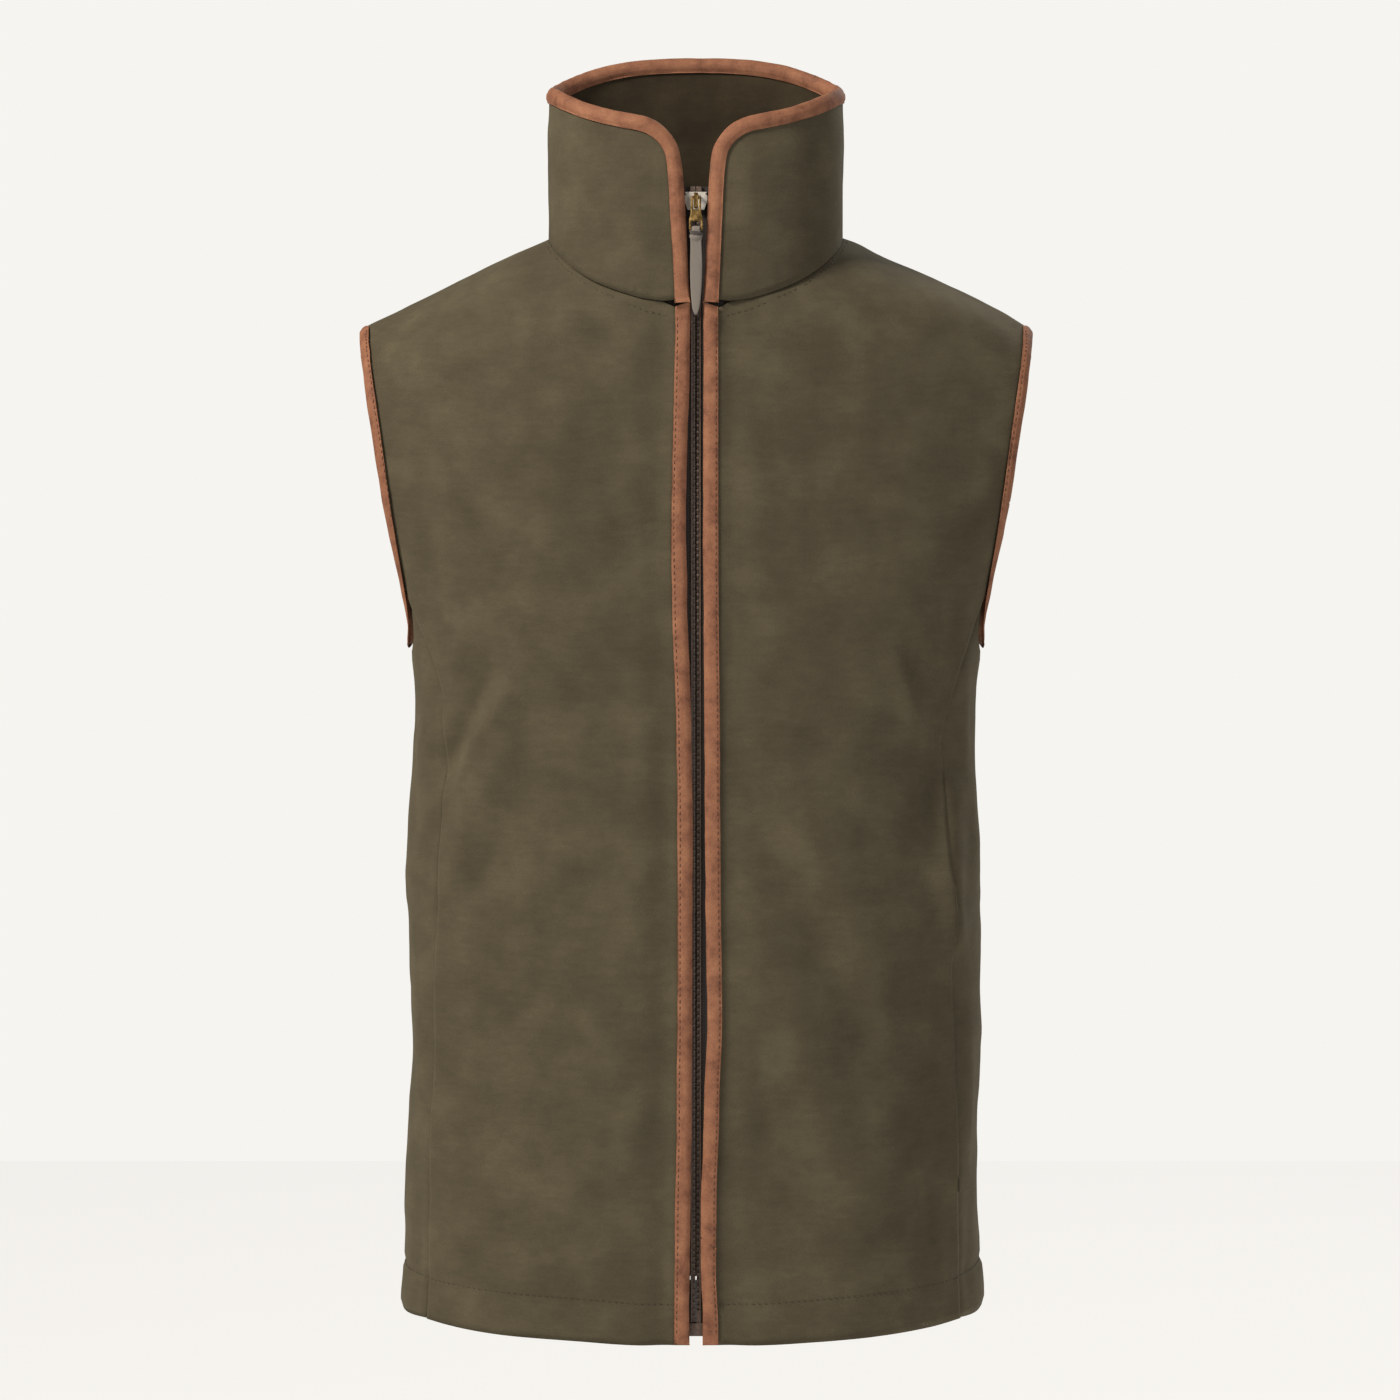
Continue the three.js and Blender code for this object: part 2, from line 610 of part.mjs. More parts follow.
// Pocket bags: two plies behind each front panel, open at the seam
const bagRows = steps(6).map((v) => {
  const z = mix(-pocketTopDrop - pocketMouth - bagBelow, -pocketTopDrop + tackHeight, v);
  const seamX = halfWidth(z) - through(frontSeamInsets, z) - 2 * seamGap;
  return steps(6).map((u) => bodyPoint(angleAt(mix(seamX - bagDepth, seamX, u), z), z, 0));
});
const bag = { rows: bagRows, normals: gridNormals(bagRows) };
const bagAt = half + plyGap + bagClearance;
const bagInnerAt = bagAt + bagPly + plyGap;
addPair('pocket_bag_front', sheet(bag, -bagAt, bagAt + bagPly), lining);
addPair('pocket_bag_back', sheet(bag, -bagInnerAt, bagInnerAt + bagPly), lining);

// Bar tacks over the seam at the ends of each pocket mouth
function tack(z) {
  const rows = steps(1).map((v) => {
    const at = z + (v - 0.5) * tackHeight;
    const seam = frontSeamAngle(at);
    return steps(2).map((u) => bodyPoint(seam + angleFor(seam, at, (u - 0.5) * tackWidth), at, riseAt(
      (at - hemZ) / (seamTopZ - hemZ))));
  });
  return sheet({ rows, normals: gridNormals(rows) }, half + clearance + tackThick, -half - clearance);
}
addPair('pocket_tack_upper', tack(-pocketTopDrop), thread);
addPair('pocket_tack_lower', tack(-pocketTopDrop - pocketMouth), thread);

// Zip, in its own frame: depths grow inwards from the mid-plane of the front edge
const face = half + ease + leather;
const plateY = face + clearance;
const chainY = plateY + plateThick + clearance;
const chainBackY = chainY + chainThick;
const backPlateY = chainBackY + clearance;
const tapeY = (chainY + chainBackY - tapeThick) / 2;
const flangeY = face + 2 * clearance;
const beadOuter = toothReach + beadWidth;
const zipTop = (-hemZ - zipEndDrop) / Math.cos(frontTilt);
const boxTop = zipStart + boxHeight;
const stopBottom = zipTop - stopHeight;
const pinTop = boxTop + boxHeight;
const chainTop = stopBottom - clearance;

function chain(bottom, phase) {
  const outline = [[beadOuter, bottom], [beadOuter, chainTop], [toothReach, chainTop]];
  const count = Math.floor((chainTop - bottom - toothPitch) / toothPitch);
  for (let i = count; i >= 0; i--) {
    const foot = bottom + (i + phase) * toothPitch;
    outline.push([toothReach, foot + toothHeight], [slotHalf, foot + toothHeight],
      [slotHalf, foot], [toothReach, foot]);
  }
  outline.push([toothReach, bottom]);
  return plate(outline, chainY, chainBackY);
}
add('zip_chain_left', chain(pinTop + clearance, 0.15), acetal, zip);
add('zip_chain_right', mirrored(chain(boxTop + clearance, 0.65)), acetal, zip);

// A tape's section steps forward from the chain to lie behind the bound edge.
const stepX = sliderHalfWidth + 2 * clearance;
const tapeX = beadOuter + clearance;
const tapeSection = [
  [tapeX, tapeY], [stepX, tapeY], [stepX, flangeY], [tapeReach, flangeY],
  [tapeReach, flangeY + tapeThick], [stepX + tapeThick, flangeY + tapeThick],
  [stepX + tapeThick, tapeY + tapeThick], [tapeX, tapeY + tapeThick],
];
const tapeFoot = boxTop + clearance;
const tape = new THREE.ExtrudeGeometry(shapeOf(tapeSection), { depth: zipTop - tapeFoot, bevelEnabled: false })
  .translate(0, 0, tapeFoot);
addPair('zip_tape', tape, tapeWeave, zip);
const stopY = [chainY - plateThick, chainBackY + plateThick];
addPair('top_stop', block(slotHalf, stopY[0], stopBottom, beadOuter, stopY[1], zipTop), brass, zip);
const pinFoot = zipStart + boxHeight / 2;
add('insertion_pin', block(slotHalf, chainY, pinFoot, beadOuter, chainBackY, pinTop), acetal, zip);
const socket = block(slotHalf - clearance, chainY - clearance, pinFoot - clearance,
  beadOuter + clearance, chainBackY + clearance, boxTop + 1);
add('retainer_box', cutBy(block(-boxHalfWidth, stopY[0], zipStart, boxHalfWidth, stopY[1], boxTop), socket),
  acetal, zip);

// Slider: two winged plates joined by a thin neck, with lips beside the chain
const sliderTop = stopBottom - clearance;
const sliderFoot = sliderTop - sliderHeight;
const sliderMid = (sliderTop + sliderFoot) / 2;
const wing = [
  [-sliderHalfWidth * 0.72, sliderFoot], [sliderHalfWidth * 0.72, sliderFoot],
  [sliderHalfWidth, mix(sliderFoot, sliderTop, 0.45)], [sliderHalfWidth, mix(sliderFoot, sliderTop, 0.8)],
  [sliderHalfWidth * 0.6, sliderTop], [-sliderHalfWidth * 0.6, sliderTop],
  [-sliderHalfWidth, mix(sliderFoot, sliderTop, 0.8)], [-sliderHalfWidth, mix(sliderFoot, sliderTop, 0.45)],
];
const neckHalf = slotHalf - clearance;
const lipHeights = [mix(sliderFoot, sliderTop, 0.45), mix(sliderFoot, sliderTop, 0.8)];
const lip = (side, y0, y1) => block(
  Math.min(side * sliderHalfWidth, side * (sliderHalfWidth - 1)), y0, lipHeights[0],
  Math.max(side * sliderHalfWidth, side * (sliderHalfWidth - 1)), y1, lipHeights[1]);
const overlap = 0.2;
add('slider_body', joined(
  plate(wing, plateY, plateY + plateThick),
  plate(wing, backPlateY, backPlateY + plateThick),
  block(-neckHalf, plateY + overlap, mix(sliderFoot, sliderTop, 0.4), neckHalf, backPlateY + overlap, sliderTop),
  ...[-1, 1].flatMap((s) => [
    lip(s, plateY + overlap, tapeY - clearance), lip(s, tapeY + tapeThick + clearance, backPlateY + overlap)]),
), enamel, zip);

// Bridge over the slider, pull tab hung on it, ribbon knotted into the tab
const tabY = -face - clearance;
const crownY = tabY - tabThick - 2 * clearance;
const legReach = sliderHeight * legShare;
const bridgeSide = [
  [sliderMid - legReach, plateY - clearance], [sliderMid - legReach, crownY],
  [sliderMid - legReach + bridgeBar, crownY - bridgeBar], [sliderMid + legReach - bridgeBar, crownY - bridgeBar],
  [sliderMid + legReach, crownY], [sliderMid + legReach, plateY - clearance],
  [sliderMid + legReach - bridgeBar, plateY - clearance], [sliderMid + legReach - bridgeBar, crownY],
  [sliderMid - legReach + bridgeBar, crownY], [sliderMid - legReach + bridgeBar, plateY - clearance],
];
// An outline of [height, depth] pairs given a width across the zip.
function crossPlate(outline, halfWide, holes = []) {
  const swap = (pairs) => pairs.map(([z, y]) => [y, z]);
  const shape = shapeOf(swap(outline), holes.map(swap));
  const g = new THREE.ExtrudeGeometry(shape, { depth: 2 * halfWide, bevelEnabled: false });
  return g.applyMatrix4(new THREE.Matrix4().set(
    0, 0, 1, -halfWide,
    1, 0, 0, 0,
    0, 1, 0, 0,
    0, 0, 0, 1));
}
add('slider_bridge', crossPlate(bridgeSide, bridgeHalfWidth), brass, zip);

const barTop = sliderMid + legReach - bridgeBar - 3 * clearance;
const barFoot = barTop - tabBar;
const tabFoot = barTop - tabLength;
const eyeFoot = sliderMid - legReach - 3 * clearance;
const slotFoot = tabFoot + tabBar;
const slotTop = slotFoot + 4;
const eyeHalf = bridgeHalfWidth + clearance;
const tabOutline = [
  [-tabHalfWidth * 0.8, tabFoot], [tabHalfWidth * 0.8, tabFoot], [tabHalfWidth, tabFoot + 1],
  [tabHalfWidth, slotTop + 1], [tabHalfWidth * 0.76, eyeFoot - 2], [tabHalfWidth * 0.76, barTop],
  [-tabHalfWidth * 0.76, barTop], [-tabHalfWidth * 0.76, eyeFoot - 2], [-tabHalfWidth, slotTop + 1],
  [-tabHalfWidth, tabFoot + 1],
];
const slotHalfWidth = tabHalfWidth - tabFrame;
add('pull_tab', plate(tabOutline, tabY - tabThick, tabY, [
  rectangle(-eyeHalf, eyeFoot, eyeHalf, barFoot),
  rectangle(-slotHalfWidth, slotFoot, slotHalfWidth, slotTop),
]), brass, zip);

const barMid = tabFoot + tabBar / 2;
const pullY = tabY - tabThick / 2;
const strandHalf = slotHalfWidth - clearance;
const loopRadius = Math.hypot(tabBar, tabThick) / 2 + 0.15;
const squareRing = (r) => [
  [barMid - r, pullY - r], [barMid + r, pullY - r], [barMid + r, pullY + r], [barMid - r, pullY + r],
];
const strand = crossPlate(squareRing(loopRadius + loopThick), strandHalf, [squareRing(loopRadius)]);
const knotMid = barMid - loopRadius - loopThick - 2.2;
const knot = new THREE.SphereGeometry(1, 10, 6).rotateX(Math.PI / 2)
  .scale(ribbonHalfWidth, 2.1, 3).translate(0, pullY, knotMid);
const tailFoot = knotMid - tailLength;
const tail = plate([
  [-ribbonHalfWidth * 0.5, tailFoot], [ribbonHalfWidth * 0.5, tailFoot + 2],
  [ribbonHalfWidth, mix(tailFoot, knotMid, 0.5)], [ribbonHalfWidth * 0.7, knotMid],
  [-ribbonHalfWidth * 0.7, knotMid], [-ribbonHalfWidth * 0.9, mix(tailFoot, knotMid, 0.5)],
], pullY - ribbonThick / 2, pullY + ribbonThick / 2);
add('pull_ribbon', joined(strand, knot, tail), ribbonSatin, zip);

// The origin lies on the underside of the hanger loop
garment.position.set(0, -(loopY - loopWidth / 2), -loopRise);
const waistcoat = new THREE.Group();
waistcoat.add(garment);

export default waistcoat;
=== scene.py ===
# A sleeveless zip-front country waistcoat: brushed cloth, nubuck bindings and a moulded zip.
import bpy, bmesh, json, math
from mathutils import Vector, Matrix, noise
from mathutils.bvhtree import BVHTree
from mathutils.kdtree import KDTree


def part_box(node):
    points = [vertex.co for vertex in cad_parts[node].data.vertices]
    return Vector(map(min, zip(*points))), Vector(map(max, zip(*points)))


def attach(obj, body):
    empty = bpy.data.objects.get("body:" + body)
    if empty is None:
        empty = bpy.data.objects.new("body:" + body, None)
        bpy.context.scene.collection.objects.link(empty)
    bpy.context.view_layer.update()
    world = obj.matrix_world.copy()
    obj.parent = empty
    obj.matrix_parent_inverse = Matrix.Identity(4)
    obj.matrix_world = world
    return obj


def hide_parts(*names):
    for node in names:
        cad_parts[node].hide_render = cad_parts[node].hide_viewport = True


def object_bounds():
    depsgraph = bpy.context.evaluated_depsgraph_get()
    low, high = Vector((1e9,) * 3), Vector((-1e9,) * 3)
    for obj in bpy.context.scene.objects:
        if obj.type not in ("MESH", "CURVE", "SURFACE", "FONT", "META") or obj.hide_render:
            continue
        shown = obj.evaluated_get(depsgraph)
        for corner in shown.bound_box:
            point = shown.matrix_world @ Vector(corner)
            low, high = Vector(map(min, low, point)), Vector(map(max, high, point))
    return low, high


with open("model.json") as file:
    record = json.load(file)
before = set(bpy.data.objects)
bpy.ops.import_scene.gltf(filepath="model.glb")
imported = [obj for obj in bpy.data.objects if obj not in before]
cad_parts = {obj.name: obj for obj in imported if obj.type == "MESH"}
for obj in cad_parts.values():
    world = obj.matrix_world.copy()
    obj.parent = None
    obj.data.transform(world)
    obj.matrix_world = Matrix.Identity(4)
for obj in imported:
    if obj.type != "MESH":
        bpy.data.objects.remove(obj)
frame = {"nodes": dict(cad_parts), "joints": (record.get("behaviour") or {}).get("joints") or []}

nodes = frame["nodes"]
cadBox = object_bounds()
mm = 0.001
tilt = math.radians(3)                     # the front edge leans back by this
joints = {j["name"]: j for j in frame["joints"]}
slideAxis = Vector(joints["zip_slide"]["axis"])
upZip = -slideAxis                         # along the zip, hem to collar
outZip = Vector((0, -upZip.z, upZip.y))    # straight out of the front edge
print("frame loaded:", len(nodes), "nodes")


# Small helpers
def linear(code, alpha=1.0):               # "#rrggbb" in sRGB to a linear colour
    channels = [int(code[i:i + 2], 16) / 255 for i in (1, 3, 5)]
    return tuple(c / 12.92 if c <= 0.04045 else ((c + 0.055) / 1.055) ** 2.4 for c in channels) + (alpha,)


def addNode(tree, kind, settings=None, inputs=None):
    node = tree.nodes.new(kind)
    for key, value in (settings or {}).items():
        setattr(node, key, value)
    for key, value in (inputs or {}).items():
        if isinstance(value, bpy.types.NodeSocket):
            tree.links.new(value, node.inputs[key])
        else:
            node.inputs[key].default_value = value
    return node


def newMaterial(name, roughness, metallic=0.0, ior=1.5):
    material = bpy.data.materials.new(name)
    material.use_nodes = True
    tree = material.node_tree
    shader = tree.nodes["Principled BSDF"]
    shader.inputs["Roughness"].default_value = roughness
    shader.inputs["Metallic"].default_value = metallic
    if not metallic:
        shader.inputs["IOR"].default_value = ior
    place = addNode(tree, "ShaderNodeTexCoord").outputs["Object"]
    return material, tree, shader, place


def ramp(tree, factor, stops):             # stops: [(position, colour), ...]
    node = addNode(tree, "ShaderNodeValToRGB", inputs={"Fac": factor})
    line = node.color_ramp
    while len(line.elements) < len(stops):
        line.elements.new(0.5)
    for element, (position, colour) in zip(line.elements, stops):
        element.position = position
        element.color = colour
    return node.outputs["Color"]


def mixColour(tree, mode, amount, first, second):
    node = addNode(tree, "ShaderNodeMix", {"data_type": "RGBA", "blend_type": mode})
    for index, value in ((0, amount), (6, first), (7, second)):
        if isinstance(value, bpy.types.NodeSocket):
            tree.links.new(value, node.inputs[index])
        else:
            node.inputs[index].default_value = value
    return node.outputs[2]


def stretched(tree, place, sizes):         # the coordinates over a cell of these sizes in mm
    return addNode(tree, "ShaderNodeMapping", inputs={
        "Vector": place, "Scale": [1000 / s for s in sizes]}).outputs["Vector"]


def noiseAt(tree, place, sizes, detail=2.0, rough=0.5):
    return addNode(tree, "ShaderNodeTexNoise", inputs={
        "Vector": stretched(tree, place, sizes), "Scale": 1.0, "Detail": detail,
        "Roughness": rough}).outputs["Fac"]


def bump(tree, shader, height, depthMm, strength=1.0, under=None):
    node = addNode(tree, "ShaderNodeBump", inputs={
        "Strength": strength, "Distance": depthMm * mm, "Height": height})
    if under is not None:
        tree.links.new(under, node.inputs["Normal"])
    tree.links.new(node.outputs["Normal"], shader.inputs["Normal"])
    return node.outputs["Normal"]


# Materials
clothLook = {"tone": "#4d4534", "light": "#554d3a", "dark": "#473f2f", "cloudMm": 30,
             "slubMm": (13, 13, 3.0), "napMm": 0.9, "nap": 0.2, "sheen": 0.16}


def brushedMicrofibre(name, look):         # polyester microfibre, woven and brushed: matt, cloudy, soft nap
    material, tree, shader, place = newMaterial(name, 0.93, ior=1.46)
    cloud = noiseAt(tree, place, [look["cloudMm"]] * 3, 3.0, 0.55)
    slub = noiseAt(tree, place, look["slubMm"], 3.0, 0.6)
    nap = noiseAt(tree, place, [look["napMm"]] * 3, 2.0)
    colour = ramp(tree, cloud, [(0.3, linear(look["dark"])), (0.5, linear(look["tone"])),
                                (0.7, linear(look["light"]))])
    streak = ramp(tree, slub, [(0.3, (0.86, 0.86, 0.86, 1)), (0.7, (1.1, 1.1, 1.1, 1))])
    colour = mixColour(tree, "MULTIPLY", 0.55, colour, streak)
    grain = ramp(tree, nap, [(0.3, (0.82, 0.82, 0.82, 1)), (0.7, (1.14, 1.14, 1.14, 1))])
    colour = mixColour(tree, "MULTIPLY", 0.6, colour, grain)
    tree.links.new(colour, shader.inputs["Base Color"])
    shader.inputs["Sheen Weight"].default_value = look["sheen"]
    shader.inputs["Sheen Roughness"].default_value = 0.6
    shader.inputs["Sheen Tint"].default_value = linear("#a89c80")
    shader.inputs["Specular IOR Level"].default_value = 0.2
    soft = bump(tree, shader, slub, 0.5, 0.35)
    bump(tree, shader, nap, look["nap"], 0.7, soft)
    return material


leatherLook = {"tone": "#87583f", "light": "#9a694b", "dark": "#6b432f", "grainMm": 0.9, "scuffMm": 11}


def nubuckLeather(name, look):             # cowhide, sanded on the grain side: matt, pitted, scuffed lighter
    material, tree, shader, place = newMaterial(name, 0.78, ior=1.45)
    scuff = noiseAt(tree, place, [look["scuffMm"]] * 3, 4.0, 0.65)
    pits = addNode(tree, "ShaderNodeTexVoronoi", inputs={
        "Vector": stretched(tree, place, [look["grainMm"]] * 3), "Scale": 1.0}).outputs["Distance"]
    fine = noiseAt(tree, place, [look["grainMm"] * 0.6] * 3, 3.0, 0.7)
    colour = ramp(tree, scuff, [(0.28, linear(look["dark"])), (0.46, linear(look["tone"])),
                                (0.72, linear(look["light"]))])
    speckle = ramp(tree, fine, [(0.36, (0.6, 0.57, 0.54, 1)), (0.5, (1.0, 1.0, 1.0, 1)),
                                (0.72, (1.12, 1.12, 1.1, 1))])
    colour = mixColour(tree, "MULTIPLY", 0.8, colour, speckle)
    tree.links.new(colour, shader.inputs["Base Color"])
    shader.inputs["Specular IOR Level"].default_value = 0.35
    first = bump(tree, shader, pits, 0.12, 0.5)
    bump(tree, shader, fine, 0.12, 0.6, first)
    return material


def wovenCloth(name, tone, dark, threadMm, roughness=0.85, sheen=0.1):   # plain weave, both ways visible
    material, tree, shader, place = newMaterial(name, roughness)
    waves = []
    for axis in ("X", "Z"):
        waves.append(addNode(tree, "ShaderNodeTexWave", {"bands_direction": axis}, {
            "Vector": place, "Scale": 1000 / threadMm / 20 * math.pi, "Distortion": 0.6}).outputs["Fac"])
    weave = mixColour(tree, "MULTIPLY", 1.0, waves[0], waves[1])
    colour = ramp(tree, weave, [(0.0, linear(dark)), (0.6, linear(tone))])
    tree.links.new(colour, shader.inputs["Base Color"])
    shader.inputs["Sheen Weight"].default_value = sheen
    bump(tree, shader, weave, threadMm * 0.3, 0.6)
    return material


def mouldedAcetal(name, tone):             # injection moulded: even colour, low soft gloss
    material, tree, shader, place = newMaterial(name, 0.42, ior=1.48)
    mottle = noiseAt(tree, place, [1.6] * 3, 2.0)
    colour = ramp(tree, mottle, [(0.3, linear(tone)), (0.8, linear("#6a574a"))])
    tree.links.new(colour, shader.inputs["Base Color"])
    bump(tree, shader, mottle, 0.05, 0.5)
    return material


# A cast, enamelled or spun surface, its high spots rubbed lighter
def rubbedSurface(name, tone, worn, roughness, metallic, wearMm=2.2):
    material, tree, shader, place = newMaterial(name, roughness, metallic)
    wear = noiseAt(tree, place, [wearMm] * 3, 4.0, 0.65)
    colour = ramp(tree, wear, [(0.38, linear(tone)), (0.66, linear(worn))])
    tree.links.new(colour, shader.inputs["Base Color"])
    bump(tree, shader, wear, 0.06, 0.5)
    return material


cloth = brushedMicrofibre("brushed_microfibre", clothLook)
# the same cloth painted darker, for the inner faces and the collar lining: painted shade inside the garment
clothInsidePaintedShade = brushedMicrofibre("brushed_microfibre_inside_painted_shade", {
    **clothLook, "tone": "#372e20", "light": "#3f3626", "dark": "#2d2519", "sheen": 0.08})
leather = nubuckLeather("nubuck_leather", leatherLook)
lining = wovenCloth("woven_polyester_lining", "#3f382c", "#2c261d", 0.9)
canvas = wovenCloth("collar_canvas", "#8f8574", "#6e6555", 1.2)
tapeCloth = wovenCloth("woven_zip_tape", "#2e241c", "#1c1511", 0.9, sheen=0.05)
ribbonCloth = wovenCloth("satin_ribbon", "#857b6f", "#6a6157", 0.28, sheen=0.3)
# the same ribbon as the tail, painted darker: painted shade in the knot's tight folds
knotClothPaintedShade = wovenCloth("knotted_ribbon_painted_shade", "#4d443b", "#2f2822", 0.5, sheen=0.3)
acetal = mouldedAcetal("moulded_acetal", "#4b3b30")
enamel = rubbedSurface("enamelled_zinc", "#b9b0a2", "#dcd6ca", 0.38, 0.0)
brass = rubbedSurface("antique_brass", "#6d532c", "#a98a54", 0.36, 1.0)
seamThread = rubbedSurface("polyester_thread_olive", "#3a3123", "#51462f", 0.7, 0.0, 1.0)
leatherThread = rubbedSurface("polyester_thread_brown", "#3f2616", "#6b452d", 0.7, 0.0, 1.0)
print("materials made:", len(bpy.data.materials))


def paint(obj, material):
    obj.data.materials.clear()
    obj.data.materials.append(material)


def finishPiece(obj, material, slot, body, *replaced):
    paint(obj, material)
    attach(obj, body)
    if replaced:
        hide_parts(*replaced)
    return obj


def newObject(name, bm, smooth=True):
    mesh = bpy.data.meshes.new(name)
    bm.to_mesh(mesh)
    bm.free()
    obj = bpy.data.objects.new(name, mesh)
    bpy.context.scene.collection.objects.link(obj)
    for face in mesh.polygons:
        face.use_smooth = smooth
    return obj


def mergedCopy(node):                      # a bmesh of a CAD node with its corners joined up
    bm = bmesh.new()
    bm.from_mesh(nodes[node].data)
    bmesh.ops.remove_doubles(bm, verts=bm.verts, dist=1e-6)
    bm.normal_update()
    return bm


def applyModifiers(obj):
    bpy.context.view_layer.update()
    graph = bpy.context.evaluated_depsgraph_get()
    mesh = bpy.data.meshes.new_from_object(obj.evaluated_get(graph))
    obj.modifiers.clear()
    obj.data = mesh
    return obj


def subdivided(obj, levels, boundary="PRESERVE_CORNERS"):
    mod = obj.modifiers.new("fine", "SUBSURF")
    mod.levels = mod.render_levels = levels
    mod.boundary_smooth = boundary
    return applyModifiers(obj)


def treeOf(*names):                        # a search tree over CAD nodes
    verts, faces = [], []
    for name in names:
        mesh = nodes[name].data
        start = len(verts)
        verts += [v.co.copy() for v in mesh.vertices]
        faces += [[start + i for i in face.vertices] for face in mesh.polygons]
    return BVHTree.FromPolygons(verts, faces)


stripTree = treeOf("front_binding_left", "front_binding_right", "armhole_binding_left",
                   "armhole_binding_right", "collar_binding")


# Cloth panels: one face of the CAD sheet, made fine, folded, and given its thickness again
sheetLook = {"thickness": 2.0, "reach": 0.33, "sideReach": 2.6, "tuck": 0.9, "yokeReach": 1.1,
             "ridgeAngle": math.radians(52)}


def oneFace(bm, score):                    # keeps the sheet face that holds the best scoring facet
    seed = max(bm.faces, key=score)
    keep, todo = {seed}, [seed]
    while todo:
        face = todo.pop()
        for edge in face.edges:
            for other in edge.link_faces:
                if other not in keep and face.normal.angle(other.normal, 3) < sheetLook["ridgeAngle"]:
                    keep.add(other)
                    todo.append(other)
    bmesh.ops.delete(bm, geom=[f for f in bm.faces if f not in keep], context="FACES")
    bmesh.ops.join_triangles(bm, faces=bm.faces, angle_face_threshold=3.0, angle_shape_threshold=3.0)
    return bm


def reachOut(bm, distance, tuck):          # cut edges reach out into their seam, or tuck back in a binding
    moves = {}
    for vert in bm.verts:
        if vert.is_boundary:
            inner = [e.other_vert(vert) for e in vert.link_edges if not e.is_boundary]
            if inner:
                away = sum(((vert.co - v.co).normalized() for v in inner), Vector()) / len(inner)
                bound = stripTree.find_nearest(vert.co)[3] < 1.6 * mm
                yoke = vert.co.z > -0.1 and abs(vert.co.y + 0.045) < 0.012 and not bound
                reach = sheetLook["yokeReach"] * mm if yoke else distance
                moves[vert] = vert.co + away * (-tuck if bound else reach)
    for vert, place in moves.items():
        vert.co = place


foldStrength = 1.25


def strokeDepth(x, z, strokes):            # folds, each (x0, z0, x1, z1, width, height) in mm
    total = 0.0
    for x0, z0, x1, z1, width, height in strokes:
        dx, dz = x1 - x0, z1 - z0
        length = math.hypot(dx, dz)
        along = ((x - x0) * dx + (z - z0) * dz) / length
        across = abs((x - x0) * dz - (z - z0) * dx) / length
        past = max(0.0, -along, along - length) / width
        fade = math.sin(math.pi * min(1, max(0.12, (along / length) * 0.76 + 0.12)))
        total += height * fade * math.exp(-abs(across / width) ** 1.6 - past * past) * foldStrength
    return total


foldStrokes = {                            # (x0, z0, x1, z1, width, height) in mm, seen from the front
    "front": [
        (-163, -372, -124, -286, 9, -5.4), (-152, -372, -108, -288, 9, 5.0),
        (-170, -332, -148, -272, 8, -4.4), (-160, -306, -140, -262, 7, 4.0),
        (-150, -420, -112, -328, 13, 4.0), (-164, -412, -144, -340, 9, -4.0),
        (-172, -420, -158, -368, 9, 3.6), (-150, -452, -120, -400, 12, -3.0),
        (-46, -318, -14, -384, 20, 3.2), (-78, -296, -26, -360, 20, -3.4),
        (-150, -470, -50, -570, 34, 3.6), (-150, -540, -40, -650, 30, -3.6),
        (-130, -110, -60, -220, 36, 2.6), (-70, -120, -30, -260, 24, -2.4),
        (-96, -650, -30, -560, 26, 2.8), (-170, -300, -176, -440, 8, 3.0),
        (-178, -290, -172, -420, 7, -3.2), (-168, -470, -176, -640, 8, 3.4),
        (-178, -500, -170, -690, 8, -3.4), (-160, -440, -166, -560, 6, -2.6),
        (24, -312, 152, -560, 28, 6.0), (22, -352, 120, -545, 20, -6.2), (28, -420, 100, -640, 26, 4.4),
        (26, -480, 66, -650, 20, -3.4), (134, -290, 164, -362, 9, -5.2), (122, -282, 154, -352, 9, 4.8),
        (146, -330, 152, -420, 10, -4.2), (160, -352, 162, -430, 9, 3.8),
        (152, -400, 166, -470, 9, 3.4), (60, -330, 150, -430, 22, -3.6),
        (110, -560, 150, -670, 24, 3.6), (40, -110, 130, -220, 34, -2.6), (26, -150, 60, -300, 22, 2.2),
        (120, -470, 158, -560, 18, -3.2), (170, -300, 177, -440, 8, 3.0),
        (177, -290, 171, -430, 7, -3.0), (169, -480, 176, -660, 8, 3.2),
        (178, -540, 172, -690, 8, -3.0), (150, -424, 164, -470, 6, 2.6)],
    "back": [
        (-130, -230, -50, -340, 24, 5.0), (130, -240, 56, -350, 24, 4.8),
        (-100, -372, 60, -412, 22, -4.4), (-60, -440, 110, -478, 24, 4.4),
        (-110, -500, -30, -540, 22, -3.6), (-70, -560, -56, -700, 30, 4.6),
        (60, -540, 54, -700, 30, -4.4), (120, -570, 116, -700, 22, 3.4),
        (-130, -90, -50, -160, 28, -3.0), (130, -90, 50, -160, 28, -3.0),
        (-150, -300, -90, -420, 16, -3.6), (150, -310, 92, -430, 16, -3.4),
        (-30, -130, 30, -140, 26, 2.2)],
}
wander = {                                 # how far each bound edge strays sideways, [height, amount]
    "left": [
        (-750, 0.2), (-700, 0.0), (-660, -1.4), (-620, -1.2), (-560, 0.6), (-507, 2.4), (-420, 1.4),
        (-358, 1.0), (-210, 0.0), (-70, 0.2), (60, 0.0)],
    "right": [
        (-750, -0.2), (-700, 0.2), (-640, 0.8), (-560, 1.8), (-507, 2.3), (-377, 2.4), (-330, 1.6),
        (-250, -0.8), (-209, -1.6), (-73, 0.8), (60, 0.0)]}


def along(pairs, at):                      # a value read between [place, value] pairs
    for (a, u), (b, v) in zip(pairs, pairs[1:]):
        if at <= b:
            t = max(0.0, (at - a) / (b - a))
            return u + (v - u) * t * t * (3 - 2 * t)
    return pairs[-1][1]


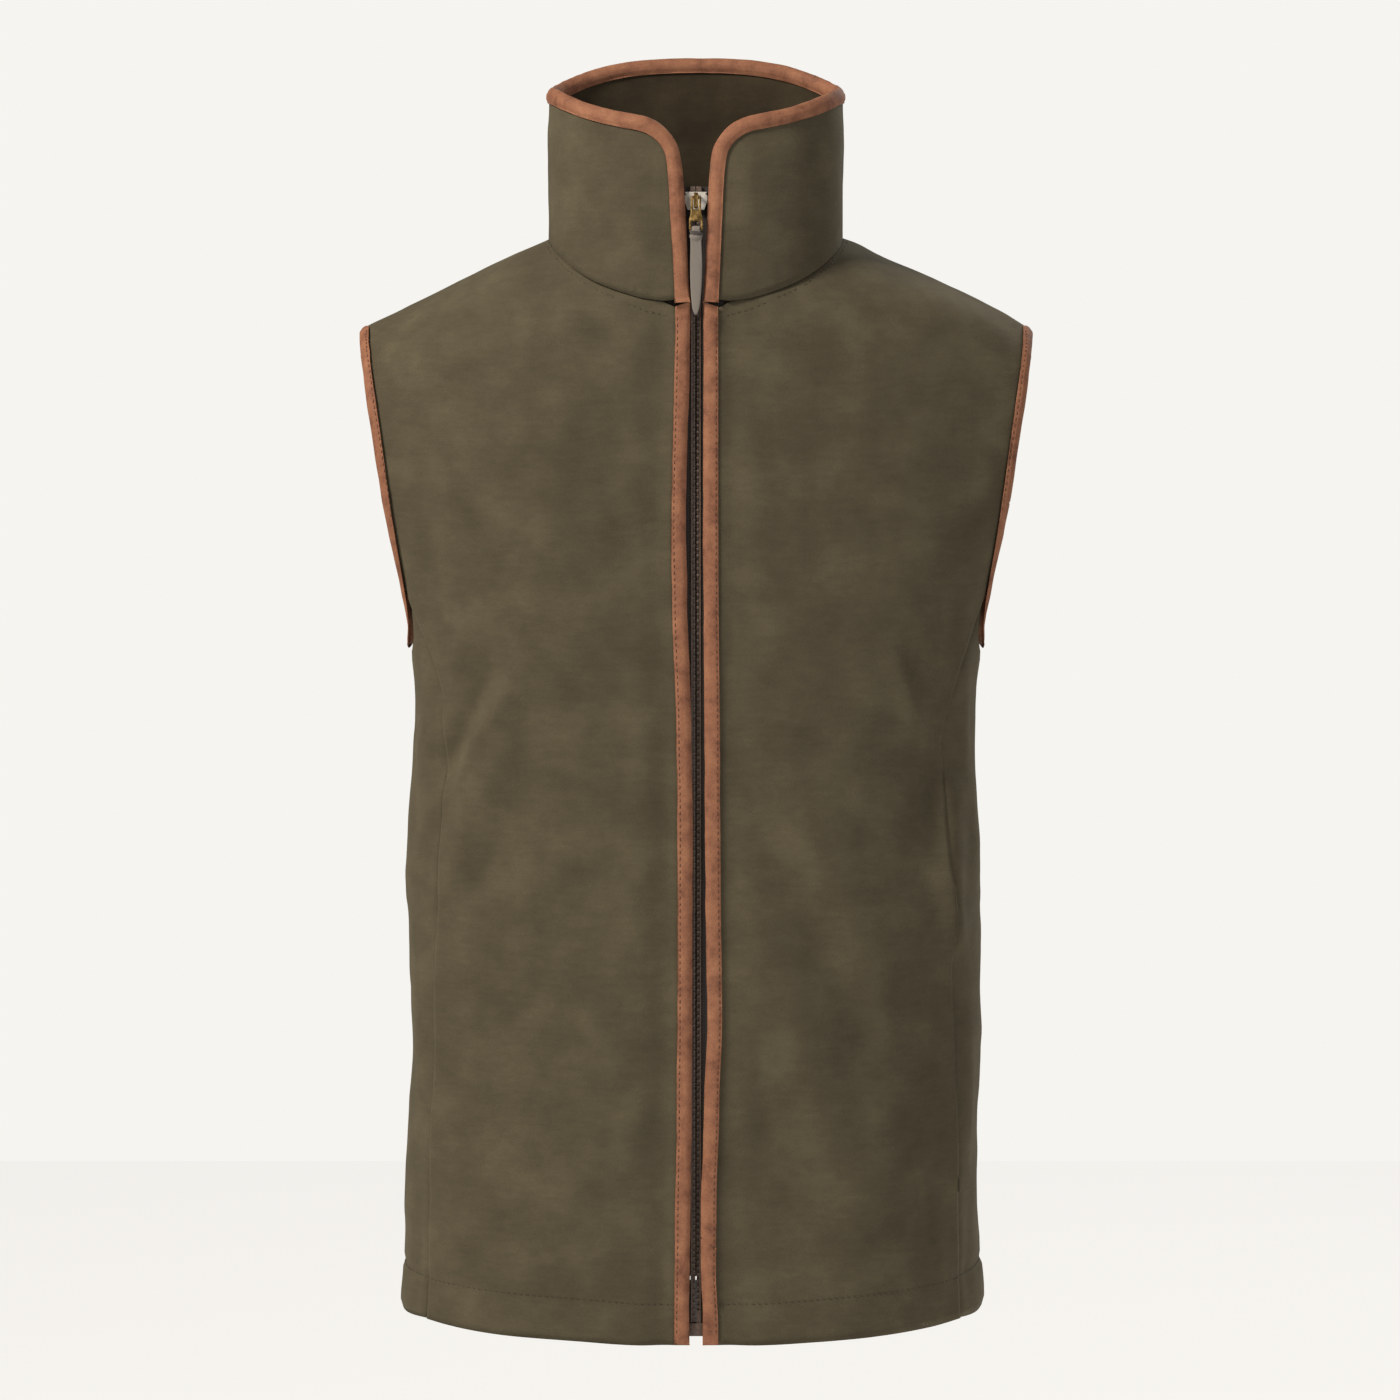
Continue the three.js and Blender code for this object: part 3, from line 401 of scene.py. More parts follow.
def edgeShift(place):                      # sideways move of the cloth near the zip, in metres
    amount = along(wander["left" if place.x > 0 else "right"], place.z / mm) * mm
    return amount * math.exp(-max(0.0, abs(place.x) / mm - 15) ** 2 / 1500)


def smoothStep(low, high, value):
    t = min(1.0, max(0.0, (value - low) / (high - low)))
    return t * t * (3 - 2 * t)


boundTree = treeOf("front_binding_left", "front_binding_right", "armhole_binding_left",
                   "armhole_binding_right", "collar_shell", "zip_tape_left", "zip_tape_right")
clothFeel = {"broadMm": 120, "broad": 4.2, "midMm": 44, "mid": 1.5, "smallMm": 13, "small": 0.22,
             "ditchAt": 21, "ditchWidth": 9, "ditch": -1.6, "hemMm": 25, "hemStep": 0.7, "hemPucker": 0.5,
             "hemWave": 3.4, "seamDip": 0.7, "mouthLift": 1.8, "hip": 5.0,
             "shoulder": 5.0, "underLap": 1.3}
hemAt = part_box("back_panel")[0].z
mouth = (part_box("pocket_tack_lower_left")[0].z / mm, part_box("pocket_tack_upper_left")[1].z / mm)


def undulation(place, feel):
    total = 0.0
    for size, height, seed in ((feel["broadMm"], feel["broad"], 3), (feel["midMm"], feel["mid"], 11),
                               (feel["smallMm"], feel["small"], 23)):
        total += height * noise.noise(place / (size * mm) + Vector((seed, 0, seed)))
    return total


def clothHeight(place, feel, isFront, seamAway):   # how far the cloth stands off its pattern, in mm
    x, y, z = place / mm
    distance = boundTree.find_nearest(place)[3] / mm
    still = smoothStep(1.5, 24, distance)
    free = smoothStep(0.4, 3, distance)    # nothing lifts the cloth inside a binding
    front = 1 - smoothStep(-40, 12, y)
    height = undulation(place, feel) + front * strokeDepth(x, z, foldStrokes["front"])
    height += (1 - front) * strokeDepth(x, z, foldStrokes["back"])
    height += feel["hip"] * smoothStep(95, 165, -x) * (1 - smoothStep(-340, -255, z))
    up = z - hemAt / mm - 8 * (abs(x) / 184) ** 2
    height += (1 - smoothStep(0, 90, up)) * feel["hemWave"] * noise.noise(Vector((x, y, 0)) / 58)
    height *= still
    if isFront:
        height += feel["ditch"] * math.exp(-((abs(x) - feel["ditchAt"]) / feel["ditchWidth"]) ** 2)
        nearMouth = smoothStep(mouth[0] - 8, mouth[0] + 30, z)
        nearMouth *= 1 - smoothStep(mouth[1] - 30, mouth[1] + 8, z)
        if abs(x) > 120:
            height += nearMouth * feel["mouthLift"] * math.exp(-(seamAway / 7) ** 2)
    else:
        height -= feel["seamDip"] * math.exp(-(seamAway / 3) ** 2)
    height += feel["hemStep"] * (1 - smoothStep(feel["hemMm"] - 2.0, feel["hemMm"] + 1.0, up))
    pucker = math.exp(-((up - feel["hemMm"]) / 6) ** 2)
    height += pucker * feel["hemPucker"] * noise.noise(Vector((x + y, 0, 7)) / 8)
    height -= 1.2 * math.exp(-((up - feel["hemMm"]) / 2.2) ** 2)
    return height * free


def foldCloth(obj, feel, node):
    isFront = node.startswith("front")
    mesh = obj.data
    mesh.update()
    border = KDTree(len(mesh.vertices))
    bm = bmesh.new()
    bm.from_mesh(mesh)
    for vert in bm.verts:
        if vert.is_boundary:
            border.insert(vert.co, vert.index)
    bm.free()
    border.balance()
    normals = [v.normal.copy() for v in mesh.vertices]
    for vert, normal in zip(mesh.vertices, normals):
        place = vert.co.copy()
        seamAway = border.find(place)[2] / mm
        under = feel["underLap"] * math.exp(-(seamAway / 3.4) ** 2) if node.startswith("side") else 0
        vert.co = place + normal * (clothHeight(place, feel, isFront, seamAway) - under) * mm
        rise = feel["shoulder"] * math.sin(math.pi * min(1, max(0, (place.x / mm - 88) / 120)))
        vert.co.z += rise * mm * smoothStep(-0.15, -0.07, place.z)
        if isFront:
            vert.co.x += edgeShift(place)
    mesh.update()


def panelScore(node):
    middle = (cadBox[0] + cadBox[1]) / 2
    if node.startswith("front"):
        return lambda f: -f.calc_center_median().y + f.normal.dot(Vector((0, -1, 0)))
    if node.startswith("back"):
        return lambda f: f.calc_center_median().y + f.normal.dot(Vector((0, 1, 0)))
    side = 1 if node.endswith("left") else -1
    return lambda f: side * (f.calc_center_median().x - middle.x) + f.normal.dot(Vector((side, 0, 0)))


# The sheet gets its thickness inwards; its inner face is the same cloth painted darker, as painted shade
# inside the garment
def thicken(obj, thickness, material, inside):
    obj.data.materials.clear()
    obj.data.materials.append(material)
    obj.data.materials.append(inside)
    mod = obj.modifiers.new("thick", "SOLIDIFY")
    mod.thickness = thickness * mm
    mod.offset = -1
    mod.use_even_offset = False
    mod.material_offset = 1
    return applyModifiers(obj)


def clothPanel(node, levels=3):
    bm = oneFace(mergedCopy(node), panelScore(node))
    area = sum(f.calc_area() for f in bm.faces)
    isSide = node.startswith("side")
    reachOut(bm, sheetLook["sideReach" if isSide else "reach"] * mm, sheetLook["tuck"] * mm)
    obj = newObject(node + "_cloth", bm)
    subdivided(obj, levels)
    foldCloth(obj, clothFeel, node)
    thicken(obj, sheetLook["thickness"], cloth, clothInsidePaintedShade)
    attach(obj, "garment")
    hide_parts(node)
    print(node, "area m2:", round(area, 4), "faces:", len(obj.data.polygons))
    return obj


panels = {}
for node in ("front_panel_left", "front_panel_right", "side_panel_left", "side_panel_right", "back_panel"):
    panels[node] = clothPanel(node)
print("panels made")

# Collar: outer shell, stiffening and lining, each its own sheet
collarFeel = {"broadMm": 80, "broad": 1.6, "midMm": 30, "mid": 0.7, "smallMm": 11, "small": 0.2}
collarEdge = treeOf("collar_binding", "front_binding_left", "front_binding_right")


def collarSheet(node, material, inside, thickness, outer, levels=3, feel=collarFeel):
    low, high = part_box(node)
    middle = (low + high) / 2
    sign = 1 if outer else -1

    def score(face):
        away = face.calc_center_median() - middle
        away.z = 0
        return sign * face.normal.dot(away.normalized()) + away.y * 4
    bm = oneFace(mergedCopy(node), score)
    area = sum(f.calc_area() for f in bm.faces)
    reachOut(bm, 0.5 * mm, sheetLook["tuck"] * mm)
    obj = newObject(node + "_cloth", bm)
    subdivided(obj, levels)
    mesh = obj.data
    mesh.update()
    normals = [v.normal.copy() for v in mesh.vertices]
    for vert, normal in zip(mesh.vertices, normals):
        still = smoothStep(1.5, 16, collarEdge.find_nearest(vert.co)[3] / mm)
        still *= smoothStep(2, 16, (vert.co.z - low.z) / mm)
        lift = max(0.0, undulation(vert.co * sign, feel) + 0.6) * still
        place = vert.co.copy()
        vert.co += normal * lift * mm * (1 if outer else 0.4)
        if place.y < -0.08:
            vert.co.x += edgeShift(place)
    mesh.update()
    thicken(obj, thickness, material, inside)
    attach(obj, "garment")
    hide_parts(node)
    return obj


# the lining and the shell's inner face take the darker cloth: painted shade
collarSheet("collar_shell", cloth, clothInsidePaintedShade, 2.0, True)
collarSheet("collar_lining", clothInsidePaintedShade, clothInsidePaintedShade, 1.2, False)
paint(nodes["collar_interlining"], canvas)
print("collar made")


# Leather bindings
bindingLook = {"waveMm": 13, "wave": 0.3, "pinchMm": 34, "pinch": 0.35, "roll": 0.9, "rollWidth": 1.7,
               "groove": 0.34, "grooveAt": 2.1, "grooveWidth": 0.6, "reach": 0.9}


def joinLine(bm, place, normal, depth, half=0.9):   # a lap across the strip: three cuts, the middle one sunk
    for offset in (-half, half, 0.0):
        cut = bmesh.ops.bisect_plane(bm, geom=bm.verts[:] + bm.edges[:] + bm.faces[:], dist=1e-6,
                                     plane_co=place + normal * offset * mm, plane_no=normal)
    bm.normal_update()
    sunk = [v for v in cut["geom_cut"] if isinstance(v, bmesh.types.BMVert)]
    for vert in sunk:
        vert.co -= vert.normal * depth * mm


innerEdge = 5.3                            # the strips start this far from the middle of the zip


def sharpEdgePoints(bm):                   # points along the folds and cut edges of a strip
    points = []
    for edge in bm.edges:
        if edge.is_manifold and edge.calc_face_angle(0) > math.radians(50):
            a, b = edge.verts
            steps = max(1, int(edge.calc_length() / (0.8 * mm)))
            points += [a.co.lerp(b.co, i / steps) for i in range(steps + 1)]
    tree = KDTree(len(points))
    for i, point in enumerate(points):
        tree.insert(point, i)
    tree.balance()
    return tree


def bindingPiece(node, joins=(), shift=False, levels=3):
    look = bindingLook
    bm = mergedCopy(node)
    sharp = sharpEdgePoints(bm)
    bmesh.ops.join_triangles(bm, faces=bm.faces, angle_face_threshold=0.6, angle_shape_threshold=3.0)
    front = node.startswith("front")
    crease = bm.edges.layers.float.new("crease_edge")
    lowest = min(v.co.z for v in bm.verts)
    highest = max(v.co.z for v in bm.verts)
    for face in bm.faces:                  # square cut ends stay square where two strips butt together
        level = face.calc_center_median().z
        atEnd = level - lowest < 5 * mm or (front and highest - level < 5 * mm)
        if abs(face.normal.z) > 0.6 and atEnd and not node.startswith("armhole"):
            for edge in face.edges:
                edge[crease] = 1.0
    obj = newObject(node + "_leather", bm)
    subdivided(obj, levels)
    mesh = obj.data
    mesh.update()
    normals = [v.normal.copy() for v in mesh.vertices]
    for vert, normal in zip(mesh.vertices, normals):
        place = vert.co.copy()
        lift = look["wave"] * noise.noise(place / (look["waveMm"] * mm))
        lift += look["pinch"] * noise.noise(place / (look["pinchMm"] * mm) + Vector((9, 2, 4)))
        away = sharp.find(place)[2] / mm   # rolled over at its edges, pulled in along the stitches
        lift += look["roll"] * (0.6 - math.exp(-(away / look["rollWidth"]) ** 2))
        lift -= look["groove"] * math.exp(-((away - look["grooveAt"]) / look["grooveWidth"]) ** 2)
        if front and normal.y > 0.3:       # clear of the slider behind, and of the pull in front
            lift = min(lift, -0.05)
        elif front and normal.y < -0.3:
            lift = min(lift, 0.3)
        vert.co = place + normal * lift * mm
        if front:                          # the ends meet: strip against strip at the neck seam
            vert.co.z += look["reach"] * mm * smoothStep(highest - 8 * mm, highest, place.z)
        elif node == "collar_binding":
            vert.co.z -= look["reach"] * mm * (1 - smoothStep(lowest, lowest + 8 * mm, place.z))
        if shift:
            vert.co.x += edgeShift(place)
    if joins:
        bm = bmesh.new()
        bm.from_mesh(mesh)
        for place, normal, depth in joins:
            joinLine(bm, Vector(place) * mm, Vector(normal).normalized(), depth)
        bm.to_mesh(mesh)
        bm.free()
    for face in mesh.polygons:
        face.use_smooth = True
    mesh.update()
    return finishPiece(obj, leather, "nubuck", "garment", node)


bindings = {
    "front_binding_right": bindingPiece("front_binding_right", [((0, 0, -52), (0.05, 0, 1), 0.55),
                                                                ((0, 0, -123), (0.1, 0, 1), 0.25)], True),
    "front_binding_left": bindingPiece("front_binding_left", [((9, 0, -646), (0.72, 0, 1), 0.5)], True),
    "armhole_binding_left": bindingPiece("armhole_binding_left", [((195, 0, -190), (0.6, 0, 1), 0.45)]),
    "armhole_binding_right": bindingPiece("armhole_binding_right"),
    "collar_binding": bindingPiece("collar_binding", (), True)}
print("bindings made")


# Stitching
stitchLook = {"length": 2.6, "gap": 1.4, "radius": 0.34, "sink": 0.06}   # a little thick, to show


def surfaceTree(*objects):
    verts, faces = [], []
    for obj in objects:
        start = len(verts)
        verts += [v.co.copy() for v in obj.data.vertices]
        faces += [[start + i for i in face.vertices] for face in obj.data.polygons]
    return BVHTree.FromPolygons(verts, faces)


def stitchRun(name, hits, material, slot, look=stitchLook):   # dashes of thread along [(place, normal), ...]
    bm = bmesh.new()
    step = (look["length"] + look["gap"]) * mm
    left = step / 2
    count = 0
    for (start, normal), (end, other) in zip(hits, hits[1:]):
        run = end - start
        length = run.length
        if length > 0.02:
            left = step / 2
            continue
        while left < length:
            t = left / length
            out = (normal * (1 - t) + other * t).normalized()
            ahead = run.normalized()
            ahead = (ahead - out * ahead.dot(out)).normalized()
            turn = Matrix((ahead.cross(out), out, ahead)).transposed().to_4x4()
            place = start + run * t + out * look["sink"] * mm
            flat = Matrix.Diagonal((1.3, 0.8, 1, 1))
            made = bmesh.ops.create_cone(bm, cap_ends=True, segments=6, radius1=look["radius"] * mm,
                                         radius2=look["radius"] * mm, depth=look["length"] * mm * 0.7,
                                         matrix=Matrix.Translation(place) @ turn @ flat)
            caps = [f for f in bm.faces[-8:] if len(f.verts) == 6]
            for cap in caps:
                tip = cap.calc_center_median() + (cap.calc_center_median() - place) * 0.36 \
                    - out * (look["radius"] * 1.1 + look["sink"]) * mm
                bmesh.ops.poke(bm, faces=[cap])
                bm.verts.ensure_lookup_table()
                bm.verts[-1].co = tip
            count += 1
            left += step
        left -= length
    obj = newObject(name, bm)
    finishPiece(obj, material, slot, "garment")
    print(name, count, "stitches")
    return obj


def castAll(tree, rays, ease=3):           # rays: [(from, direction), ...]; keeps the ones that land
    hits = []
    for start, direction in rays:
        place, normal = tree.ray_cast(start, direction)[:2]
        if place is not None:
            hits.append((place, normal))
    eased = []
    for i, (place, normal) in enumerate(hits):     # an even line, laid back on the surface
        near = [h for h in hits[max(0, i - ease):i + ease + 1] if (h[0] - place).length < 0.03]
        middle = sum((h[0] for h in near), Vector()) / len(near)
        found = tree.find_nearest(middle)
        facing = sum((h[1] for h in near), Vector()).normalized()
        eased.append((found[0], facing if facing.length > 0.5 else normal))
    return eased


bodyTree = surfaceTree(*panels.values())
hemRays = []
for i in range(721):                       # round the hem, from outside towards the middle
    angle = math.radians(-89.5 + 359 * i / 720)
    out = Vector((math.cos(angle), math.sin(angle), 0))
    start = Vector((0, -0.046, hemAt + 25 * mm)) + out * 0.4
    x = out.x * 0.184
    start.z += 8 * mm * (x / 0.184) ** 2
    hemRays.append((start, -out))
hemHits = [h for h in castAll(bodyTree, hemRays) if not (abs(h[0].x) < 0.0135 and h[0].y < -0.1)]
stitchRun("hem_stitches", hemHits, seamThread, "thread")
collarLow = [v.co.copy() for v in nodes["collar_shell"].data.vertices]


def neckEdge(out):                         # the height of the neck seam in this direction
    near = [p.z for p in collarLow if Vector((p.x, p.y + 0.04, 0)).normalized().dot(out) > 0.996]
    return min(near) if near else None


neckRays = []
for i in range(361):
    angle = math.radians(-86 + 352 * i / 360)
    out = Vector((math.cos(angle), math.sin(angle), 0))
    level = neckEdge(out)
    if level is not None:                  # cast down and inwards onto the yoke beside the seam
        aim = (-out * 0.55 - Vector((0, 0, 1))).normalized()
        foot = [p for p in collarLow if Vector((p.x, p.y + 0.04, 0)).normalized().dot(out) > 0.996
                and p.z < level + 4 * mm]
        reach = max(Vector((p.x, p.y + 0.04, 0)).length for p in foot) + 3.2 * mm
        place = Vector((0, -0.04, level)) + out * reach
        neckRays.append((place - aim * 0.02, aim))
stitchRun("neck_stitches", castAll(bodyTree, neckRays, 9), seamThread, "thread")


def bindingStitches(node, rays, name):
    tree = surfaceTree(bindings[node])
    return stitchRun(name, castAll(tree, rays), leatherThread, "thread")


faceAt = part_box("front_binding_left")
for side, sign in (("left", 1), ("right", -1)):
    inner = (innerEdge + 6.9) * mm * sign
    rays = []
    for i in range(240):
        z = faceAt[0].z + 3 * mm + (faceAt[1].z - faceAt[0].z - 5 * mm) * i / 239
        place = Vector((inner, 0, z))
        rays.append((Vector((inner + edgeShift(place), -0.6, z)), Vector((0, 1, 0))))
    bindingStitches("front_binding_" + side, rays, "front_binding_stitches_" + side)
for side, sign in (("left", 1), ("right", -1)):
    binding = bindings["armhole_binding_" + side]
    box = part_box("armhole_binding_" + side)
    for face, direction in (("front", 1), ("back", -1)):
        rays = []
        for i in range(160):
            z = box[0].z + 6 * mm + (box[1].z - box[0].z - 10 * mm) * i / 159
            near = [abs(v.co.x) for v in binding.data.vertices
                    if abs(v.co.z - z) < 3 * mm and (v.co.y + 0.045) * direction < 0]
            if near:
                x = (max(near) - 5.0 * mm) * sign
                rays.append((Vector((x, -0.6 * direction, z)), Vector((0, direction, 0))))
        bindingStitches("armhole_binding_" + side, rays, "armhole_stitches_" + face + "_" + side)
print("stitching made")


# Metal and moulded zip parts: the CAD shapes with their edges eased
def easedPiece(node, material, slot, body, ease, segments=2, sharp=32):
    bm = mergedCopy(node)
    bmesh.ops.dissolve_limit(bm, angle_limit=0.03, verts=bm.verts, edges=bm.edges)
    edges = [e for e in bm.edges if e.is_manifold and e.calc_face_angle(0) > math.radians(sharp)]
    bmesh.ops.bevel(bm, geom=edges, offset=ease * mm, offset_type="OFFSET", segments=segments, profile=0.5,
                    affect="EDGES", material=-1, clamp_overlap=True)
    obj = newObject(node + "_made", bm)
    obj.data.set_sharp_from_angle(angle=math.radians(40))
    return finishPiece(obj, material, slot, body, node)


easedPiece("slider_body", enamel, "enamel", "slider", 0.35, 3)
easedPiece("slider_bridge", brass, "brass", "slider", 0.42, 3)
wingLook = {"halfWidth": 6.7, "tall": 1.6, "deep": 1.4, "bow": 1.1}


def sliderWing():                          # the curled cream lip across the top of the slider
    low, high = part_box("slider_body")
    bm = bmesh.new()
    deep = wingLook["deep"] * mm
    front = low.y + (high.z - low.z) * math.tan(tilt)
    centre = Vector((0, front + deep / 2, high.z - wingLook["tall"] * 0.5 * mm))
    bmesh.ops.create_cube(bm, size=1, matrix=Matrix.Translation(centre) @ Matrix.Diagonal(
        (wingLook["halfWidth"] * 2 * mm, deep, wingLook["tall"] * mm, 1)))
    lengthwise = [e for e in bm.edges if abs(e.verts[0].co.x - e.verts[1].co.x) > mm]
    bmesh.ops.subdivide_edges(bm, edges=lengthwise, cuts=9, use_grid_fill=True)
    for vert in bm.verts:
        u = vert.co.x / (wingLook["halfWidth"] * mm)
        vert.co.z += wingLook["bow"] * mm * (u * u * 0.8 - 0.35)
        vert.co.z = centre.z + (vert.co.z - centre.z) * (1 - 0.35 * u * u)
    sharp = [e for e in bm.edges if e.calc_face_angle(0) > 0.8]
    bmesh.ops.bevel(bm, geom=sharp, offset=0.4 * mm, offset_type="OFFSET", segments=3, profile=0.5,
                    affect="EDGES", material=-1, clamp_overlap=True)
    obj = newObject("slider_wing", bm)
    finishPiece(obj, enamel, "enamel", "slider")


def pullTab():                             # a die cast plate, its rim standing proud on the front
    bm = mergedCopy("pull_tab")
    bmesh.ops.dissolve_limit(bm, angle_limit=0.03, verts=bm.verts, edges=bm.edges)
    front = [f for f in bm.faces if f.normal.dot(outZip) > 0.9]
    bmesh.ops.inset_region(bm, faces=front, thickness=0.5 * mm, depth=-0.28 * mm, use_even_offset=True,
                           use_boundary=True)
    bm.normal_update()
    edges = [e for e in bm.edges if e.is_manifold and e.calc_face_angle(0) > math.radians(40)]
    bmesh.ops.bevel(bm, geom=edges, offset=0.14 * mm, offset_type="OFFSET", segments=2, profile=0.5,
                    affect="EDGES", material=-1, clamp_overlap=True)
    obj = newObject("pull_tab_made", bm)
    obj.data.set_sharp_from_angle(angle=math.radians(40))
    return finishPiece(obj, brass, "brass", "pull_tab", "pull_tab")


sliderWing()
pullTab()
for node in ("top_stop_left", "top_stop_right", "insertion_pin", "retainer_box"):
    made = easedPiece(node, acetal, "acetal", "garment", 0.2)
    for vert in made.data.vertices:        # the pins close up on each other, as far as the slider lets them
        if 0.5 * mm < abs(vert.co.x) < 0.85 * mm:
            vert.co.x -= math.copysign(0.26 * mm, vert.co.x)


# Zip teeth on their beads
toothLook = {"pitch": 4.0, "tall": 1.9, "deep": 2.3, "from": 0.34, "to": 2.3, "bead": 3.4, "ease": 0.32}


def zipChain(side, sign):
    low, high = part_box("zip_chain_" + side)
    alongZip = upZip.normalized()
    bm = bmesh.new()
    length = (high.z - low.z) / alongZip.z
    middle = Vector((0, (low.y + high.y) / 2, (low.z + high.z) / 2))
    start = middle - alongZip * length / 2
    turn = Matrix((Vector((1, 0, 0)), outZip, alongZip)).transposed().to_4x4()
    deep = toothLook["deep"] * mm
    count = int(length / (toothLook["pitch"] * mm))
    for i in range(count):
        s = (i + (0.5 if sign > 0 else 1.0)) * toothLook["pitch"] * mm
        if s + toothLook["tall"] * mm / 2 > length:
            break
        wide = (toothLook["to"] - toothLook["from"]) * mm
        centre = Vector((sign * (toothLook["from"] * mm + wide / 2), 0, s))
        place = Matrix.Translation(start) @ turn @ Matrix.Translation(centre)
        made = bmesh.ops.create_cube(bm, size=1, matrix=place @ Matrix.Diagonal(
            (wide, deep, toothLook["tall"] * mm, 1)))
        verts = made["verts"]
        edges = list({e for v in verts for e in v.link_edges})
        bmesh.ops.bevel(bm, geom=edges, offset=toothLook["ease"] * mm, offset_type="OFFSET", segments=1,
                        profile=0.5, affect="EDGES", material=-1, clamp_overlap=True)
    for near, far, thick, back in ((toothLook["to"] - 0.3, toothLook["bead"], deep * 0.92, 0.0),
                                   (toothLook["from"] + 0.06, toothLook["to"], 0.7 * mm, -0.6 * mm)):
        wide = (far - near) * mm           # the bead along the tape, and the web that ties the teeth
        place = Matrix.Translation(start) @ turn @ Matrix.Translation(
            Vector((sign * (near * mm + wide / 2), back, length / 2)))
        made = bmesh.ops.create_cube(bm, size=1, matrix=place @ Matrix.Diagonal((wide, thick, length, 1)))
        edges = [e for e in {e for v in made["verts"] for e in v.link_edges}
                 if abs((e.verts[0].co - e.verts[1].co).length - length) < 1e-4]
        bmesh.ops.bevel(bm, geom=edges, offset=thick * 0.2, offset_type="OFFSET", segments=2, profile=0.5,
                        affect="EDGES", material=-1, clamp_overlap=True)
    obj = newObject("zip_teeth_" + side, bm)
    obj.data.set_sharp_from_angle(angle=math.radians(50))
    print("zip", side, count, "teeth")
    return finishPiece(obj, acetal, "acetal", "garment", "zip_chain_" + side)


zipChain("left", 1)
zipChain("right", -1)


filmLook = {"near": 0.02, "far": 10.0, "tall": 34, "thick": 0.4}


def zipFilm(side, sign):                   # the stiff film that backs the foot of each tape
    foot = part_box("retainer_box")[0]
    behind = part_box("retainer_box")[1].y + 2.2 * mm
    bm = bmesh.new()
    wide = (filmLook["far"] - filmLook["near"]) * mm
    middle = Vector((sign * (filmLook["near"] * mm + wide / 2), behind, foot.z + filmLook["tall"] / 2 * mm))
    lean = Matrix.Rotation(-tilt, 4, "X")
    bmesh.ops.create_cube(bm, size=1, matrix=Matrix.Translation(middle) @ lean @ Matrix.Diagonal(
        (wide, filmLook["thick"] * mm, filmLook["tall"] * mm, 1)))
    bmesh.ops.bevel(bm, geom=bm.edges[:], offset=0.15 * mm, offset_type="OFFSET", segments=2, profile=0.5,
                    affect="EDGES", material=-1, clamp_overlap=True)
    finishPiece(newObject("zip_film_" + side, bm), acetal, "acetal", "garment")


zipFilm("left", 1)
zipFilm("right", -1)


# Woven parts: zip tapes, neck tape, hanger loop and pocket bags
def wovenPiece(node, material, slot, levels, wave, waveMm=20, follow=False):
    bm = mergedCopy(node)
    bmesh.ops.join_triangles(bm, faces=bm.faces, angle_face_threshold=0.6, angle_shape_threshold=3.0)
    longest = [e for e in bm.edges if e.calc_length() > 9 * mm]
    bmesh.ops.subdivide_edges(bm, edges=longest, cuts=3, use_grid_fill=True)
    area = sum(f.calc_area() for f in bm.faces) / 2
    obj = newObject(node + "_woven", bm)
    mod = obj.modifiers.new("fine", "SUBSURF")
    mod.subdivision_type = "SIMPLE"
    mod.levels = mod.render_levels = levels
    applyModifiers(obj)
    mesh = obj.data
    for vert in mesh.vertices:
        shift = Vector(noise.noise_vector(vert.co / (waveMm * mm))) * wave
        if follow:                         # a pocket bag lies against the panel and folds with it
            out = Vector((vert.co.x, vert.co.y + 0.046, 0)).normalized()
            shift = out * (clothHeight(vert.co, clothFeel, True, 99) - 0.3)
        vert.co += shift * mm
    obj.data.set_sharp_from_angle(angle=math.radians(40))
    finishPiece(obj, material, slot, "garment", node)
    return obj


for side in ("left", "right"):
    wovenPiece("zip_tape_" + side, tapeCloth, "tape", 0, 0.0)
    for ply in ("front", "back"):
        wovenPiece("pocket_bag_" + ply + "_" + side, lining, "lining", 2, 0, 30, True)
wovenPiece("neck_tape", tapeCloth, "tape", 1, 0.1)
wovenPiece("hanger_loop", tapeCloth, "tape", 1, 0.0)
print("woven parts made")


# Bar tacks: a row of close satin turns over each pocket end
tackLook = {"turns": 14, "radius": 0.3}


def barTack(node):
    low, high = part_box(node)
    middle = (low + high) / 2
    bm = bmesh.new()
    tall = high.z - low.z
    for i in range(tackLook["turns"]):
        z = low.z + tall * (i + 0.5) / tackLook["turns"]
        hit = bodyTree.find_nearest(Vector((middle.x, middle.y, z)))
        out = hit[1]
        across = Vector((0, 0, 1)).cross(out).normalized()
        turn = Matrix((Vector((0, 0, 1)).cross(across), Vector((0, 0, 1)), across)).transposed().to_4x4()
        bmesh.ops.create_cone(bm, cap_ends=True, segments=6, radius1=tackLook["radius"] * mm,
                              radius2=tackLook["radius"] * mm, depth=2.4 * mm,
                              matrix=Matrix.Translation(hit[0] + out * 0.1 * mm) @ turn)
    bmesh.ops.recalc_face_normals(bm, faces=bm.faces)
    obj = newObject(node + "_thread", bm)
    return finishPiece(obj, seamThread, "thread", "garment", node)


for side in ("left", "right"):
    barTack("pocket_tack_upper_" + side)
    barTack("pocket_tack_lower_" + side)
print("bar tacks made")


# Plain ribbon on the pull: a knot and a tail of two plies
def pullRibbon():
    low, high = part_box("pull_ribbon")
    bm = mergedCopy("pull_ribbon")
    bmesh.ops.join_triangles(bm, faces=bm.faces, angle_face_threshold=0.6, angle_shape_threshold=3.0)
    obj = newObject("pull_ribbon_woven", bm)
    subdivided(obj, 2)
    for vert in obj.data.vertices:
        down = smoothStep(0.0, 1.0, (high.z - vert.co.z) / (high.z - low.z))
        vert.co += outZip * 0.25 * mm * math.sin(down * 9) * down
    return finishPiece(obj, ribbonCloth, "ribbon", "pull_ribbon", "pull_ribbon")


knotLook = {"size": (3.9, 2.2, 3.2), "below": 5.0, "ridge": 0.55, "fuzz": 0.3}


